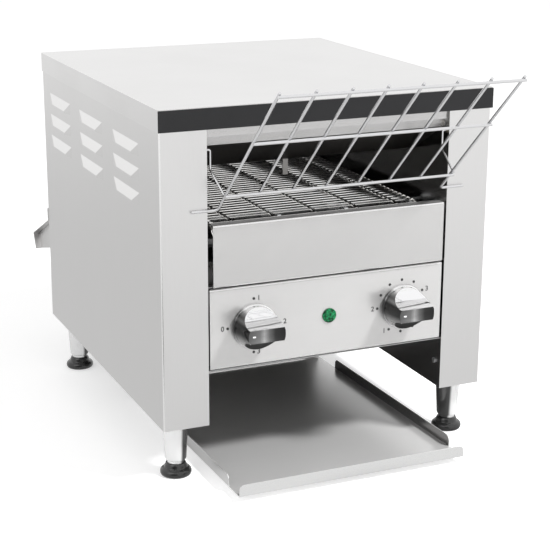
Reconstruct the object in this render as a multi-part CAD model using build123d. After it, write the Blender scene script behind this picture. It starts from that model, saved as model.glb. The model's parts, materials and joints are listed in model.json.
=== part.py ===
"""Conveyor toaster: a wire belt carries bread from the front rack through a heated tunnel,
drops it down a chute at the back, and the toast slides forward into the tray underneath.

X runs to the right, Y to the back and Z up. While it is modelled, Y is 0 at the front of the
side columns. The finished pieces are moved so that the origin is the bottom centre of the
whole toaster. Lengths are millimetres.
"""
from build123d import *
import os
from math import acos, atan2, ceil, cos, degrees, hypot, pi, radians, sin, tan

# ---- casing ----
body_width = 366.0  # over the two side panels
body_depth = 418.0
body_height = 387.0
leg_height = 60.0
sheet = 1.0
wall_sheet = 1.0
column_width = 49.0
column_lap = 1.0  # how far the column's inner edge stands past the inner wall's face
bend_radius = 2.0
rear_flange = 15.0
cover_flange = 22.0
trim_sheet = 1.2
slip = 0.3  # clearance between pieces that pass each other
seat = 0.05  # clearance of a fixed round piece in its hole
punch = 5.0  # how far a cut reaches past the sheet
screw_head_radius = 3.4
screw_head_height = 1.8
screw_radius = 1.6
screw_length = 5.0
screw_inset = 12.0
screw_column_y = 14.0
screw_column_z = 88.0

# ---- side louvres ----
louvre_length = 84.0
louvre_height = 12.5
louvre_depth = 2.6
louvre_pitch_y = 121.0
louvre_pitch_z = 25.0
louvre_first_y = 61.0
louvre_top_drop = 43.5  # from the cover's top to the first row
louvre_columns = 3
louvre_rows = 3
louvre_taper = 18.0  # how much shorter the lower edge is, at each end
louvre_lip = 1.5
louvre_mouth = 1.4

# ---- front fascia ----
panel_bottom = 118.0
panel_top = 203.0
panel_margin = 3.0  # from the inner walls
panel_recess = 1.5
panel_flange = 12.0
apron_bottom = 205.5
apron_top = 269.5
apron_margin = 5.5
apron_proud = 3.0
apron_flange = 12.0
header_height = 40.0  # from its lower edge to the cover's top
header_skirt = 9.5
header_front = 4.0
header_lean = 6.0
control_box_depth = 200.0

# ---- knobs and lamp ----
knob_margin = 50.5  # from the inner walls to each knob's middle
knob_z = 160.3
knob_radius = 24.0
knob_length = 35.0
knob_skirt = 4.5
knob_body_radius = 22.8
knob_top_radius = 20.0
knob_grip = 14.0
knob_hollow_radius = 16.0
knob_hollow_depth = 5.0
knob_clear = 0.6
knob_collar = 2.0  # full body that the scoops leave in front of the skirt
knob_nose = 0.6
knob_face = 6.0  # solid in front of the shaft's end
switch_shaft_radius = 3.0
switch_bush_radius = 4.5
running_fit = 0.05
switch_size = 34.0
switch_depth = 26.0
switch_chamfer = 4.0
mode_switch_extra = 8.0
switch_shaft_reach = 20.0
switch_bush_reach = 4.0
lamp_radius = 7.75
lamp_body_radius = 6.0
lamp_body_length = 24.0
lamp_proud = 3.0
lamp_chamfer = 2.0
board_margin = 25.0  # from the right inner wall
board_front = 70.0
board_size = 80.0
board_sheet = 1.6
board_post = 6.0
board_post_inset = 6.0
board_block = 16.0
board_block_height = 18.0
board_can_radius = 6.0
board_can_height = 14.0

# ---- wire belt and its shafts ----
belt_margin = 15.0  # from the inner walls
belt_top = 263.0
belt_wire = 1.8
belt_radius = 24.0  # from the shaft to the middle of the wire
belt_pitch = 9.5
front_shaft_y = 46.0
rear_shaft_margin = 66.0  # from the casing's back
shaft_radius = 5.0
belt_hook = 5.0
belt_gap = 0.4  # between a hook's end and the next wire
sprocket_count = 4
sprocket_inset = 4.5  # from the belt's edge to the outer sprockets' middle
sprocket_teeth = 8
sprocket_width = 4.0
sprocket_tip_gap = 0.6
tooth_depth = 3.0
bush_radius = 8.0
bush_flange = 2.0
bush_length = 5.0
journal_radius = 4.2
rest_rod_y = 83.0
rest_rod_radius = 3.0
rest_disc_radius = 9.0
rest_disc_width = 13.0

# ---- heating ----
element_radius = 4.5
upper_element_drop = 51.0  # below the cover's top
lower_element_z = 238.0
upper_element_front = 33.0  # behind the reflector's front
upper_element_back = 25.0
upper_element_count = 4
lower_element_front = 72.0  # behind the front shaft
lower_element_back = 66.0
lower_element_count = 4
holder_size = 18.0
holder_depth = 14.0
element_socket = 10.0
reflector_roof_drop = 29.0  # below the cover's top
reflector_lip_drop = 62.0
reflector_front_y = 72.0
reflector_back_margin = 78.0
reflector_lap = 2.0  # of the front lip behind the header
lower_reflector_z = 221.0
lower_trough_margin = 20.0
lower_trough_rim = 10.0
strap_x = -19.0
strap_width = 6.0
strap_drop = 17.0  # below the reflector's lip
strap_toe = 12.0
strap_lap = 14.0

# ---- drive ----
motor_ahead = 34.0  # motor shaft in front of the rear shaft
motor_shaft_z = 130.0
motor_radius = 28.0
motor_length = 26.0
gearbox_length = 12.0
motor_step = 3.0
motor_shaft_radius = 4.0
motor_seat_depth = 6.0
chain_margin = 8.0  # from the inner wall to the chain's middle
chain_width = 4.0
chain_thickness = 5.0
driven_teeth = 20
driver_teeth = 10
chain_pitch = 6.35
chain_tooth = 1.2
bracket_margin = 14.0
bracket_sheet = 2.0
bracket_rim = 8.0
bracket_lug = 16.0
bracket_step = 12.0

# ---- fan and back panel ----
fan_x = -60.0
fan_z = 110.0
fan_frame_size = 80.0
fan_depth = 25.0
fan_bore = 37.0
fan_tip_gap = 1.5
fan_hub_radius = 15.0
fan_hub_plate = 4.0
fan_pin_radius = 2.0
fan_run_gap = 0.5
fan_corner = 4.0
fan_strut = 3.0
fan_blades = 7
blade_width = 17.0
blade_sheet = 1.2
blade_pitch = 38.0
blade_back_gap = 4.0
guard_bar = 2.4
guard_reach = 5.0
vent_slot_length = 30.0
vent_slot_height = 4.0
vent_columns = 6
vent_pitch_x = 42.0
vent_rows = 3
vent_pitch_z = 10.0
vent_drop = 45.0  # of the top row below the cover's top
gland_x = 110.0
gland_z = 90.0
gland_radius = 8.0
gland_bore = 3.5
gland_flange = 3.0
gland_inside = 8.0
gland_outside = 12.0
hood_top = 180.0
hood_flange = 16.0
hood_reach = 74.0
hood_drop = 34.0
hood_lip_back = 10.0
hood_lip_drop = 18.0
hood_cheek_inset = 8.0
hood_cheek_rise = 15.0

# ---- legs ----
leg_inset = 22.0  # from the side panels
leg_front_y = 28.0
leg_rear_margin = 40.0
leg_top_radius = 13.5
leg_low_radius = 11.0
leg_neck_radius = 9.0
leg_neck_height = 3.0
foot_radius = 16.5
foot_height = 14.0
foot_rim = 3.0
leg_stud_radius = 4.0
leg_stud_length = 10.0
turned_sides = 24  # flats that stand for the round of a leg, foot or lens

base_rim = 15.0
base_slots = 6
base_slot_pitch = 40.0
base_slot_length = 26.0
base_slot_width = 4.0

# ---- bread rack ----
rack_wire_radius = 1.5
hook_wire_radius = 1.1
rack_margin = 11.0  # from the inner walls
rack_pin_margin = 31.5  # from the sides of the casing
rack_pin_z = 285.0
rack_slope = 43.0
rack_low = 30.5  # along the slope, from the pins to the bottom cross rod
rack_middle = 124.0
rack_high = 199.5
rack_tip = 2.5
rack_inner_rods = 6
rack_weld = 0.3  # how far crossing wires melt into each other
rack_bend = 4.0
hinge_y = 5.0
hinge_drop = 43.0  # below the cover's top
hook_drop = 19.5  # straight part below the hinge
hook_margin = 6.0
hinge_pin_reach = 6.0
hinge_bush_radius = 3.2
hinge_bush_outside = 2.0
hinge_bush_inside = 1.2

# ---- tray and chute ----
tray_margin = 7.0  # from the inner walls
tray_rise = 7.0  # the front edge stands this much above the back edge
tray_wall = 12.5
tray_front = -65.5
tray_wall_front = -36.0
tray_wall_margin = 45.0  # from the chute's foot to the walls' back ends
tray_lap = 12.0  # of the tray under the chute
tray_corner = 6.0
bumper_radius = 6.0
bumper_side = 20.0
bumper_inset = 22.0
chute_top_z = 300.0
chute_back_gap = 5.0
chute_bend_z = 190.0
chute_foot_margin = 130.0  # from the casing's back
chute_bend_radius = 60.0

# ---- worked out ----
side_x = body_width / 2
cover_x = side_x + sheet
tunnel_half = side_x - column_width + column_lap
wall_out = tunnel_half + wall_sheet
base_top = leg_height + sheet
shaft_z = belt_top - belt_radius
rear_shaft_y = body_depth - rear_shaft_margin
back_inner = body_depth - sheet
hood_y = body_depth + sheet
trim_front = -sheet - trim_sheet
louvre_top_z = body_height - louvre_top_drop
panel_half = tunnel_half - panel_margin
apron_half = tunnel_half - apron_margin
header_bottom = body_height - header_height
header_bend = header_bottom + header_skirt
knob_x = tunnel_half - knob_margin
board_low_x = tunnel_half - board_margin - board_size
knob_back_y = panel_recess - knob_clear
belt_half = tunnel_half - belt_margin
sprocket_spacing = 2 * (belt_half - sprocket_inset) / (sprocket_count - 1)
upper_element_z = body_height - upper_element_drop
reflector_roof = body_height - reflector_roof_drop
reflector_lip = body_height - reflector_lip_drop
reflector_back_y = body_depth - reflector_back_margin
upper_element_first_y = reflector_front_y + upper_element_front
upper_element_last_y = reflector_back_y - upper_element_back
lower_element_first_y = front_shaft_y + lower_element_front
lower_element_last_y = rear_shaft_y - lower_element_back
motor_shaft_y = rear_shaft_y - motor_ahead
chain_plane = wall_out + chain_margin
bracket_x = wall_out + bracket_margin
fan_back = back_inner - sheet
leg_x = side_x - leg_inset
leg_rear_y = body_depth - leg_rear_margin
rack_half = tunnel_half - rack_margin
rack_pin_x = side_x - rack_pin_margin
rack_pin_y = -rack_wire_radius - slip
hinge_z = body_height - hinge_drop
hook_x = tunnel_half - hook_margin
hinge_pin_end = tunnel_half + hinge_pin_reach
tray_half = tunnel_half - tray_margin
chute_y = back_inner - sheet - chute_back_gap
chute_foot_y = body_depth - chute_foot_margin
chute_low_half = tray_half - sheet - 3 * slip
tray_wall_back = chute_foot_y - tray_wall_margin
tray_back = chute_foot_y + tray_lap
tray_tilt = degrees(atan2(tray_rise, tray_back - tray_front))


def tray_under(y):
    """Height of the tray's underside above the table at a place along Y."""
    return (tray_back - y) * tan(radians(tray_tilt))


def rack_point(along):
    """Y and Z of a place on the rack's slope, counted from its pins."""
    slope = radians(rack_slope)
    return rack_pin_y - along * cos(slope), rack_pin_z + along * sin(slope)


rack_front_y = rack_point(rack_high + rack_tip)[0] - rack_wire_radius * sin(radians(rack_slope))
origin_y = (hood_y + hood_reach + rack_front_y) / 2


# ---- helpers ----
def block(x0, x1, y0, y1, z0, z1):
    """Box between two corners."""
    return Pos((x0 + x1) / 2, (y0 + y1) / 2, (z0 + z1) / 2) * Box(x1 - x0, y1 - y0, z1 - z0)


def rod_x(radius, x0, x1, y, z):
    """Round bar along X."""
    return Pos((x0 + x1) / 2, y, z) * Rot(0, 90, 0) * Cylinder(radius, x1 - x0)


def rod_y(radius, x, y0, y1, z):
    """Round bar along Y."""
    return Pos(x, (y0 + y1) / 2, z) * Rot(90, 0, 0) * Cylinder(radius, y1 - y0)


def rod_z(radius, x, y, z0, z1):
    """Round bar along Z."""
    return Pos(x, y, (z0 + z1) / 2) * Cylinder(radius, z1 - z0)


def bar_x(radius, x0, x1, y, z, sides=8):
    """Bar along X with flat sides, measured over its corners."""
    return Pos(x0, y, z) * extrude(Plane.YZ * RegularPolygon(radius, sides), amount=x1 - x0)


def plug_y(radius, x, y0, y1, z, sides):
    """Bar along Y with flat sides, measured over its corners."""
    return Pos(x, y1, z) * extrude(Plane.XZ * RegularPolygon(radius, sides), amount=y1 - y0)


def folded(points, thickness, bend=0.0):
    """Section of a folded sheet whose other face lies to the left of the points."""
    line = FilletPolyline(*points, radius=bend) if bend else Polyline(*points)
    return make_face(offset(line, amount=thickness, side=Side.LEFT))


def across(section, x0, x1):
    """Extrude a section drawn as (Y, Z) from x0 to x1."""
    return Pos(x0, 0, 0) * extrude(Plane.YZ * section, amount=x1 - x0)


def upright(section, z0, z1):
    """Extrude a section drawn as (X, Y) from z0 to z1."""
    return Pos(0, 0, z0) * extrude(section, amount=z1 - z0)


def bar_z(radius, x, y, z0, z1, sides=12):
    """Bar along Z with flat sides, measured over its corners."""
    return Pos(x, y, z0) * extrude(RegularPolygon(radius, sides), amount=z1 - z0)


def wire(points, radius, bend=0.0):
    """Wire of six sides along the points, its corners bent or mitred."""
    line = FilletPolyline(*points, radius=bend) if bend else Polyline(*points)
    section = Plane(line @ 0, z_dir=line % 0) * RegularPolygon(radius, 6)
    return sweep(section, path=line, transition=Transition.RIGHT)


def spaced(first, last, count):
    """Places of count copies from the first to the last."""
    return [first + i * (last - first) / (count - 1) for i in range(count)]


def mirrored(shape):
    """The same piece on the other side of the toaster."""
    return mirror(shape, about=Plane.YZ)


def spread(count, spacing):
    """Places of count copies, evenly spaced about zero."""
    return [(i - (count - 1) / 2) * spacing for i in range(count)]


nodes = {}


def add(name, *shapes):
    """Keep the solids of one sub-part under its name."""
    solids = [solid for shape in shapes for solid in shape.solids()]
    nodes[name] = solids[0] if len(solids) == 1 else Compound(children=solids)


def fused(first, *others):
    """Join pieces that are made as one."""
    for other in others:
        first = first + other
    return first


# ---- casing ----
def louvre_places():
    """Front end and top edge of each louvre."""
    for column in range(louvre_columns):
        for row in range(louvre_rows):
            yield louvre_first_y + column * louvre_pitch_y, louvre_top_z - row * louvre_pitch_z


def louvre_hood():
    """Pressed hood, open along its lower edge, drawn at its front end's top corner."""
    low, out = -louvre_height, -louvre_depth

    def pressed(section, base_x, crest_x, inset):
        """Section along the hood's length, its ends sloping in towards the crest."""
        body = extrude(Plane.XZ * make_face(Polyline(*section, close=True)), amount=-louvre_length)
        crest_low, crest_high = louvre_taper, louvre_length - louvre_taper
        plan = [(base_x, inset), (base_x, louvre_length - inset), (crest_x, crest_high), (crest_x, crest_low)]
        return body & upright(make_face(Polyline(*plan, close=True)), 2 * low, -low)

    skin = [(0, 0), (out, low + louvre_lip), (out, low), (0, low)]
    inner_low = low + louvre_lip - sheet / 2
    inner = [(sheet, -louvre_mouth), (out + sheet, inner_low), (out + sheet, 2 * low), (sheet, 2 * low)]
    return pressed(skin, 0, out, 0) - pressed(inner, sheet, out + sheet, 2 * sheet)


def side_panel():
    """Left panel: column, side and rear flange folded from one sheet."""
    inner_edge = -side_x + column_width
    plan = folded(
        [(-side_x + rear_flange, body_depth), (-side_x, body_depth), (-side_x, 0), (inner_edge, 0)],
        sheet,
        bend_radius,
    )
    panel = upright(plan, leg_height, body_height - sheet)
    hood = louvre_hood()
    for y, z in louvre_places():
        front, back = y + louvre_taper, y + louvre_length - louvre_taper
        window = block(-side_x - 1, -side_x + sheet + 1, front, back, z - louvre_height, z - 2 * sheet)
        panel = panel - window + Pos(-side_x, y, z) * hood
    return panel


def top_cover():
    """Lid with a turned-down flange all round."""
    plate = block(-cover_x, cover_x, -sheet, body_depth + sheet, body_height - cover_flange, body_height)
    plate = fillet(plate.edges().filter_by(Axis.Z), bend_radius)
    hollow = block(-side_x, side_x, 0, body_depth, body_height - cover_flange - 1, body_height - sheet)
    return plate - hollow


def top_front_trim():
    """Dark band that covers the lid's front flange."""
    low = body_height - cover_flange
    return block(-cover_x, cover_x, trim_front, -sheet, low, body_height - sheet)


def back_panel():
    """Back sheet with the fan opening, hot air slots and the gland's hole."""
    half = side_x - bend_radius
    panel = block(-half, half, back_inner - sheet, back_inner, base_top, body_height - sheet)
    panel = panel - rod_y(fan_bore, fan_x, back_inner - punch, back_inner + punch, fan_z)
    panel = panel - plug_y(gland_radius + seat, gland_x, back_inner - punch, back_inner + punch, gland_z, 6)
    for x, z in back_screw_places():
        panel = panel - Pos(x, back_inner, z) * Rot(90, 0, 0) * screw_shank(2 * punch, seat)
    slot = Box(vent_slot_length, 2 * punch, vent_slot_height)
    for x in spread(vent_columns, vent_pitch_x):
        for row in range(vent_rows):
            panel = panel - Pos(x, back_inner, body_height - vent_drop - row * vent_pitch_z) * slot
    return panel


def base_plate():
    """Left floor of the side compartment, a channel with perforations, which the legs hold."""
    low_x, high_x, rim = -side_x + sheet, -wall_out, leg_height + base_rim
    channel = folded([(low_x, rim), (low_x, leg_height), (high_x, leg_height), (high_x, rim)], sheet)
    front, back = sheet + bend_radius, back_inner - sheet - bend_radius
    plate = Pos(0, front, 0) * extrude(Plane.XZ * channel, amount=front - back)
    for y in (leg_front_y, leg_rear_y):
        plate = plate - bar_z(leg_stud_radius + slip, -leg_x, y, leg_height - punch, leg_height + punch, 6)
    slot = Box(base_slot_width, base_slot_length, 2 * punch)
    middle = (leg_front_y + leg_rear_y) / 2
    for y in spread(base_slots, base_slot_pitch):
        plate = plate - Pos(-leg_x, middle + y, leg_height) * slot
    return plate


def inner_wall():
    """Left wall of the toasting tunnel, punched for shafts, tubes, screws and the rack's hinge."""
    wall = block(-wall_out, -tunnel_half, sheet, back_inner - sheet, leg_height, body_height - sheet)
    low, high = -wall_out - punch, -tunnel_half + punch
    for y in (front_shaft_y, rear_shaft_y):
        wall = wall - bar_x(bush_radius + seat, low, high, y, shaft_z)
    for y, z in element_places():
        wall = wall - bar_x(element_radius + 2 * slip, low, high, y, z)
    for y, z in wall_screw_places():
        wall = wall - Pos(-tunnel_half, y, z) * Rot(0, 90, 0) * screw_shank(2 * punch, seat)
    wall = wall - bar_x(rest_rod_radius + seat, low, high, rest_rod_y, rest_rod_z())
    return wall - bar_x(hinge_bush_radius + seat, low, high, hinge_y, hinge_z)


def wall_screw_places():
    """Y and Z of the screws through each inner wall."""
    column = [(screw_column_y, screw_column_z), (screw_column_y, apron_bottom + screw_inset)]
    box_y = control_box_depth - screw_inset
    box = [(box_y, z) for z in (panel_bottom + screw_inset, apron_bottom - screw_inset)]
    chute = [(chute_y - screw_inset, chute_top_z - screw_inset)]
    return column + box + chute


def back_screw_places():
    """X and Z of the screws through the back panel."""
    half = side_x - rear_flange + screw_inset / 2
    heights = (base_top + screw_inset, body_height - cover_flange - screw_inset)
    return [(x, z) for x in (-half, 0, half) for z in heights]


def screw_shank(length, grow=0.0):
    """Shank of a screw, or its hole, centred on Z = 0."""
    return extrude(RegularPolygon(screw_radius + grow, 6), amount=length / 2, both=True)


def screw():
    """Hexagon head screw along Z, its head sitting on Z = 0."""
    head = extrude(RegularPolygon(screw_head_radius, 6), amount=screw_head_height)
    return head + Pos(0, 0, -screw_length / 2) * screw_shank(screw_length)


def casing_screws():
    """Screws through the inner walls and the back panel."""
    one = screw()
    left = [Pos(-tunnel_half, y, z) * Rot(0, 90, 0) * one for y, z in wall_screw_places()]
    back = [Pos(x, back_inner, z) * Rot(-90, 0, 0) * one for x, z in back_screw_places()[2:4]]
    return left + [mirrored(each) for each in left] + back


# ---- front fascia ----
def front_apron():
    """Plain front plate below the tunnel mouth, with flanges turned back along its top and bottom."""
    section = folded(
        [
            (apron_flange - apron_proud, apron_top),
            (-apron_proud, apron_top),
            (-apron_proud, apron_bottom),
            (apron_flange, apron_bottom),
        ],
        sheet,
        bend_radius,
    )
    return across(section, -apron_half, apron_half)


def control_panel():
    """Control plate with holes for the two controls and the lamp."""
    section = folded(
        [
            (panel_recess + panel_flange, panel_top),
            (panel_recess, panel_top),
            (panel_recess, panel_bottom),
            (panel_recess + panel_flange, panel_bottom),
        ],
        sheet,
        bend_radius,
    )
    plate = across(section, -panel_half, panel_half)
    for x in (-knob_x, knob_x):
        plate = plate - rod_y(switch_bush_radius + seat, x, -punch, 2 * punch, knob_z)
    return plate - rod_y(lamp_body_radius + seat, 0, -punch, 2 * punch, knob_z)


def control_box():
    """Heat shield box behind the control panel, from wall to wall."""
    section = folded(
        [
            (panel_recess, panel_bottom - sheet),
            (control_box_depth, panel_bottom - sheet),
            (control_box_depth, apron_bottom),
            (panel_recess + 2 * sheet, apron_bottom),
        ],
        sheet,
    )
    return across(section, -tunnel_half, tunnel_half)


def header():
    """Bright strip over the tunnel mouth, leaning inward along its lower half."""
    section = folded(
        [
            (header_front, body_height - sheet),
            (header_front, header_bend),
            (header_front + header_lean, header_bottom),
        ],
        sheet,
    )
    return across(section, -tunnel_half, tunnel_half)


# ---- heating ----
def upper_places():
    """Y and Z of the tubes over the bread."""
    places = spaced(upper_element_first_y, upper_element_last_y, upper_element_count)
    return [(y, upper_element_z) for y in places]


def lower_places():
    """Y and Z of the tubes under the bread."""
    places = spaced(lower_element_first_y, lower_element_last_y, lower_element_count)
    return [(y, lower_element_z) for y in places]


def element_places():
    """Y and Z of every heating tube."""
    return upper_places() + lower_places()


def elements(places):
    """Sheathed heating tubes from wall to wall, ending inside their holders."""
    reach = wall_out + element_socket - slip
    return [bar_x(element_radius, -reach, reach, y, z, 12) for y, z in places]


def element_holders():
    """Ceramic blocks on the outside of the inner walls, each with a blind seat for a tube."""
    holders = []
    for y, z in element_places():
        half = holder_size / 2
        holder = block(-wall_out - holder_depth, -wall_out, y - half, y + half, z - half, z + half)
        holder = holder - bar_x(element_radius + 2 * slip, -wall_out - element_socket, -wall_out + 1, y, z)
        holders += [holder, mirrored(holder)]
    return holders


def upper_reflector():
    """Folded reflector over the upper tubes, with a front lip that leans inward."""
    lip_start = header_front + header_lean + slip
    section = folded(
        [
            (lip_start, header_bottom + reflector_lap),
            (reflector_front_y, reflector_lip),
            (reflector_front_y, reflector_roof),
            (reflector_back_y, reflector_roof),
            (reflector_back_y, reflector_lip),
        ],
        sheet,
    )
    reflector = across(section, -tunnel_half, tunnel_half)
    return reflector + element_strap()


def lower_reflector():
    """Shallow trough under the lower tubes, between the belt's two runs."""
    front = lower_element_first_y - lower_trough_margin
    back = lower_element_last_y + lower_trough_margin
    section = folded(
        [
            (front - lower_trough_rim, lower_reflector_z + lower_trough_rim),
            (front, lower_reflector_z),
            (back, lower_reflector_z),
            (back + lower_trough_rim, lower_reflector_z + lower_trough_rim),
        ],
        sheet,
    )
    return across(section, -tunnel_half, tunnel_half)


def element_strap():
    """Tab welded behind the reflector's front lip, which steadies the guard under the upper tubes."""
    low, front = reflector_lip - strap_drop, reflector_front_y
    side = folded([(front, reflector_lip + strap_lap), (front, low), (front + strap_toe, low)], sheet)
    return across(side, strap_x - strap_width / 2, strap_x + strap_width / 2)


# ---- wire belt and its shafts ----
def belt_rungs():
    """Place and tangent angle of each cross wire round the loop, clockwise from the right end."""
    run = rear_shaft_y - front_shaft_y
    arc = pi * belt_radius
    count = ceil((2 * run + 2 * arc) / belt_pitch)
    step = (2 * run + 2 * arc) / count
    for i in range(count):
        s = i * step
        if s < run:
            yield front_shaft_y + s, belt_top, 0.0
        elif s < run + arc:
            turn = (s - run) / belt_radius
            yield rear_shaft_y + belt_radius * sin(turn), shaft_z + belt_radius * cos(turn), degrees(turn)
        elif s < 2 * run + arc:
            yield rear_shaft_y - (s - run - arc), shaft_z - belt_radius, 180.0
        else:
            turn = pi + (s - 2 * run - arc) / belt_radius
            yield front_shaft_y + belt_radius * sin(turn), shaft_z + belt_radius * cos(turn), degrees(turn)


def belt_wire_shape():
    """One cross wire, its ends turned back towards the wire behind it."""
    half = belt_half - belt_wire / 2
    reach = belt_pitch - belt_wire - belt_gap
    line = Polyline((-half + belt_hook, -reach), (-half, 0), (half, 0), (half - belt_hook, -reach))
    return extrude(trace(line, line_width=belt_wire), amount=belt_wire / 2, both=True)


def wire_belt():
    """All the cross wires of the belt, each a separate wire."""
    one = belt_wire_shape()
    return [Pos(0, y, z) * Rot(-turn, 0, 0) * one for y, z, turn in belt_rungs()]


def sprocket():
    """Toothed disc that carries the belt, drawn about X."""
    tip = belt_radius - belt_wire / 2 - sprocket_tip_gap
    root = tip - tooth_depth
    step = 2 * pi / sprocket_teeth
    points = []
    for i in range(sprocket_teeth):
        for share, radius in ((-0.32, root), (-0.14, tip), (0.14, tip), (0.32, root)):
            angle = (i + share) * step
            points.append((radius * cos(angle), radius * sin(angle)))
    disc = make_face(Polyline(*points, close=True)) - RegularPolygon(shaft_radius + seat, 6)
    return Pos(-sprocket_width / 2, 0, 0) * extrude(Plane.YZ * disc, amount=sprocket_width)


def sprockets(y):
    """The sprockets of one shaft."""
    one = sprocket()
    return [Pos(x, y, shaft_z) * one for x in spread(sprocket_count, sprocket_spacing)]


def hex_shaft(y, right_end):
    """Hexagon bar between the walls, turned round where it passes through the bushes."""
    half = tunnel_half - bush_flange - slip
    bar = bar_x(shaft_radius, -half, half, y, shaft_z, 6)
    left = rod_x(journal_radius, -wall_out - bush_length, -half, y, shaft_z)
    return bar + left + rod_x(journal_radius, half, right_end, y, shaft_z)


def shaft_bushes():
    """Bushes of both shafts, pushed through the walls from the outside."""
    bushes = []
    for y in (front_shaft_y, rear_shaft_y):
        low, high = -wall_out - bush_length + slip, -tunnel_half + bush_flange
        body = bar_x(bush_radius, low, high, y, shaft_z)
        body = body - rod_x(journal_radius + running_fit, low - 1, high + 1, y, shaft_z)
        bushes += [body, mirrored(body)]
    return bushes


def rest_rod_z():
    """Height of the rod whose discs carry the belt's upper run."""
    return belt_top - belt_wire / 2 - slip - rest_disc_radius


def belt_rest():
    """Fixed rod with polished discs under the front of the upper run."""
    rod = bar_x(rest_rod_radius, -wall_out - 3, wall_out + 3, rest_rod_y, rest_rod_z())
    half = rest_disc_width / 2
    for x in spread(sprocket_count, sprocket_spacing):
        disc = bar_x(rest_disc_radius, x - half, x + half, rest_rod_y, rest_rod_z(), 16)
        rod = rod + disc
    return rod


# ---- drive ----
def chain_wheel(teeth, bore, y, z):
    """Toothed wheel of the drive chain, smaller than the inside of the chain."""
    pitch_radius = teeth * chain_pitch / (2 * pi)
    tip = pitch_radius - chain_thickness / 2 - slip
    step = 2 * pi / teeth
    points = []
    for i in range(teeth):
        points.append(((tip - chain_tooth) * cos(i * step), (tip - chain_tooth) * sin(i * step)))
        points.append((tip * cos((i + 0.5) * step), tip * sin((i + 0.5) * step)))
    disc = make_face(Polyline(*points, close=True)) - Circle(bore)
    return Pos(chain_plane - chain_width / 2, y, z) * extrude(Plane.YZ * disc, amount=chain_width)


def drive_chain():
    """Closed chain round both wheels, as one band."""
    r1 = driven_teeth * chain_pitch / (2 * pi)
    r2 = driver_teeth * chain_pitch / (2 * pi)
    dy, dz = motor_shaft_y - rear_shaft_y, motor_shaft_z - shaft_z
    aim = atan2(dz, dy)
    spread_angle = acos((r1 - r2) / hypot(dy, dz))

    def band(grow):
        """Filled outline of the chain, grown by half its thickness."""
        outline = []
        for side in (1, -1):
            angle = aim + side * spread_angle
            one = (rear_shaft_y + (r1 + grow) * cos(angle), shaft_z + (r1 + grow) * sin(angle))
            two = (motor_shaft_y + (r2 + grow) * cos(angle), motor_shaft_z + (r2 + grow) * sin(angle))
            outline += [one, two] if side == 1 else [two, one]
        middle = make_face(Polyline(*outline, close=True))
        middle = middle + Pos(rear_shaft_y, shaft_z) * Circle(r1 + grow)
        return middle + Pos(motor_shaft_y, motor_shaft_z) * Circle(r2 + grow)

    section = band(chain_thickness / 2) - band(-chain_thickness / 2)
    width = chain_width + 2
    return Pos(chain_plane - width / 2, 0, 0) * extrude(Plane.YZ * section, amount=width)


def motor_output():
    """Shaft of the geared motor."""
    inside = bracket_x + bracket_sheet + motor_seat_depth
    return rod_x(motor_shaft_radius, chain_plane - chain_width, inside, motor_shaft_y, motor_shaft_z)


def gear_motor():
    """Flat geared motor with a bore where its output shaft turns."""
    face = bracket_x + bracket_sheet
    middle, end = face + gearbox_length, face + motor_length
    gearbox = bar_x(motor_radius, face, middle, motor_shaft_y, motor_shaft_z, 24)
    can = bar_x(motor_radius - motor_step, middle, end, motor_shaft_y, motor_shaft_z, 24)
    bore_end = face + motor_seat_depth + slip
    bore = rod_x(motor_shaft_radius + running_fit, face - 1, bore_end, motor_shaft_y, motor_shaft_z)
    return gearbox + can - bore


def motor_bracket():
    """Bent plate between the right inner wall and the motor."""
    half = motor_radius + bracket_rim
    step_y = motor_shaft_y - motor_radius - bracket_step
    section = folded(
        [
            (bracket_x, motor_shaft_y + motor_radius + bracket_rim / 2),
            (bracket_x, step_y),
            (wall_out, step_y),
            (wall_out, step_y - bracket_lug),
        ],
        bracket_sheet,
    )
    plate = upright(section, motor_shaft_z - half, motor_shaft_z + half)
    low, high = bracket_x - bracket_sheet, bracket_x + 2 * bracket_sheet
    return plate - bar_x(2 * motor_shaft_radius, low, high, motor_shaft_y, motor_shaft_z)


# ---- fan and back ----
def fan_frame():
    """Square frame of the cooling fan with its hub plate and struts."""
    half, front = fan_frame_size / 2, fan_back - fan_depth
    frame = block(fan_x - half, fan_x + half, front, fan_back, fan_z - half, fan_z + half)
    frame = chamfer(frame.edges().filter_by(Axis.Y), fan_corner)
    frame = frame - rod_y(fan_bore, fan_x, front - 1, fan_back + 1, fan_z)
    hub = plug_y(fan_hub_radius, fan_x, front, front + fan_hub_plate, fan_z, 16)
    for turn in (45, 135):
        strut = Box(2 * fan_bore + 2, fan_strut, fan_hub_plate)
        hub = hub + Pos(fan_x, front + fan_strut / 2, fan_z) * Rot(0, turn, 0) * strut
    pin = rod_y(fan_pin_radius, fan_x, front, fan_back - blade_back_gap, fan_z)
    return frame + hub + pin


def fan_rotor():
    """Hub cup and blades that turn on the frame's pin."""
    front, back = fan_back - fan_depth + fan_hub_plate + fan_run_gap, fan_back - blade_back_gap
    rotor = plug_y(fan_hub_radius, fan_x, front, back, fan_z, 14)
    tip = fan_bore - fan_tip_gap
    root = fan_hub_radius - 1.5
    for i in range(fan_blades):
        blade = Rot(blade_pitch, 0, 0) * Box(tip - root, blade_width, blade_sheet)
        turned = Rot(0, i * 360 / fan_blades, 0) * Pos((root + tip) / 2, 0, 0) * blade
        rotor = rotor + Pos(fan_x, (front + back) / 2, fan_z) * turned
    return rotor - rod_y(fan_pin_radius + running_fit, fan_x, front - 1, back + 1, fan_z)


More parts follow.
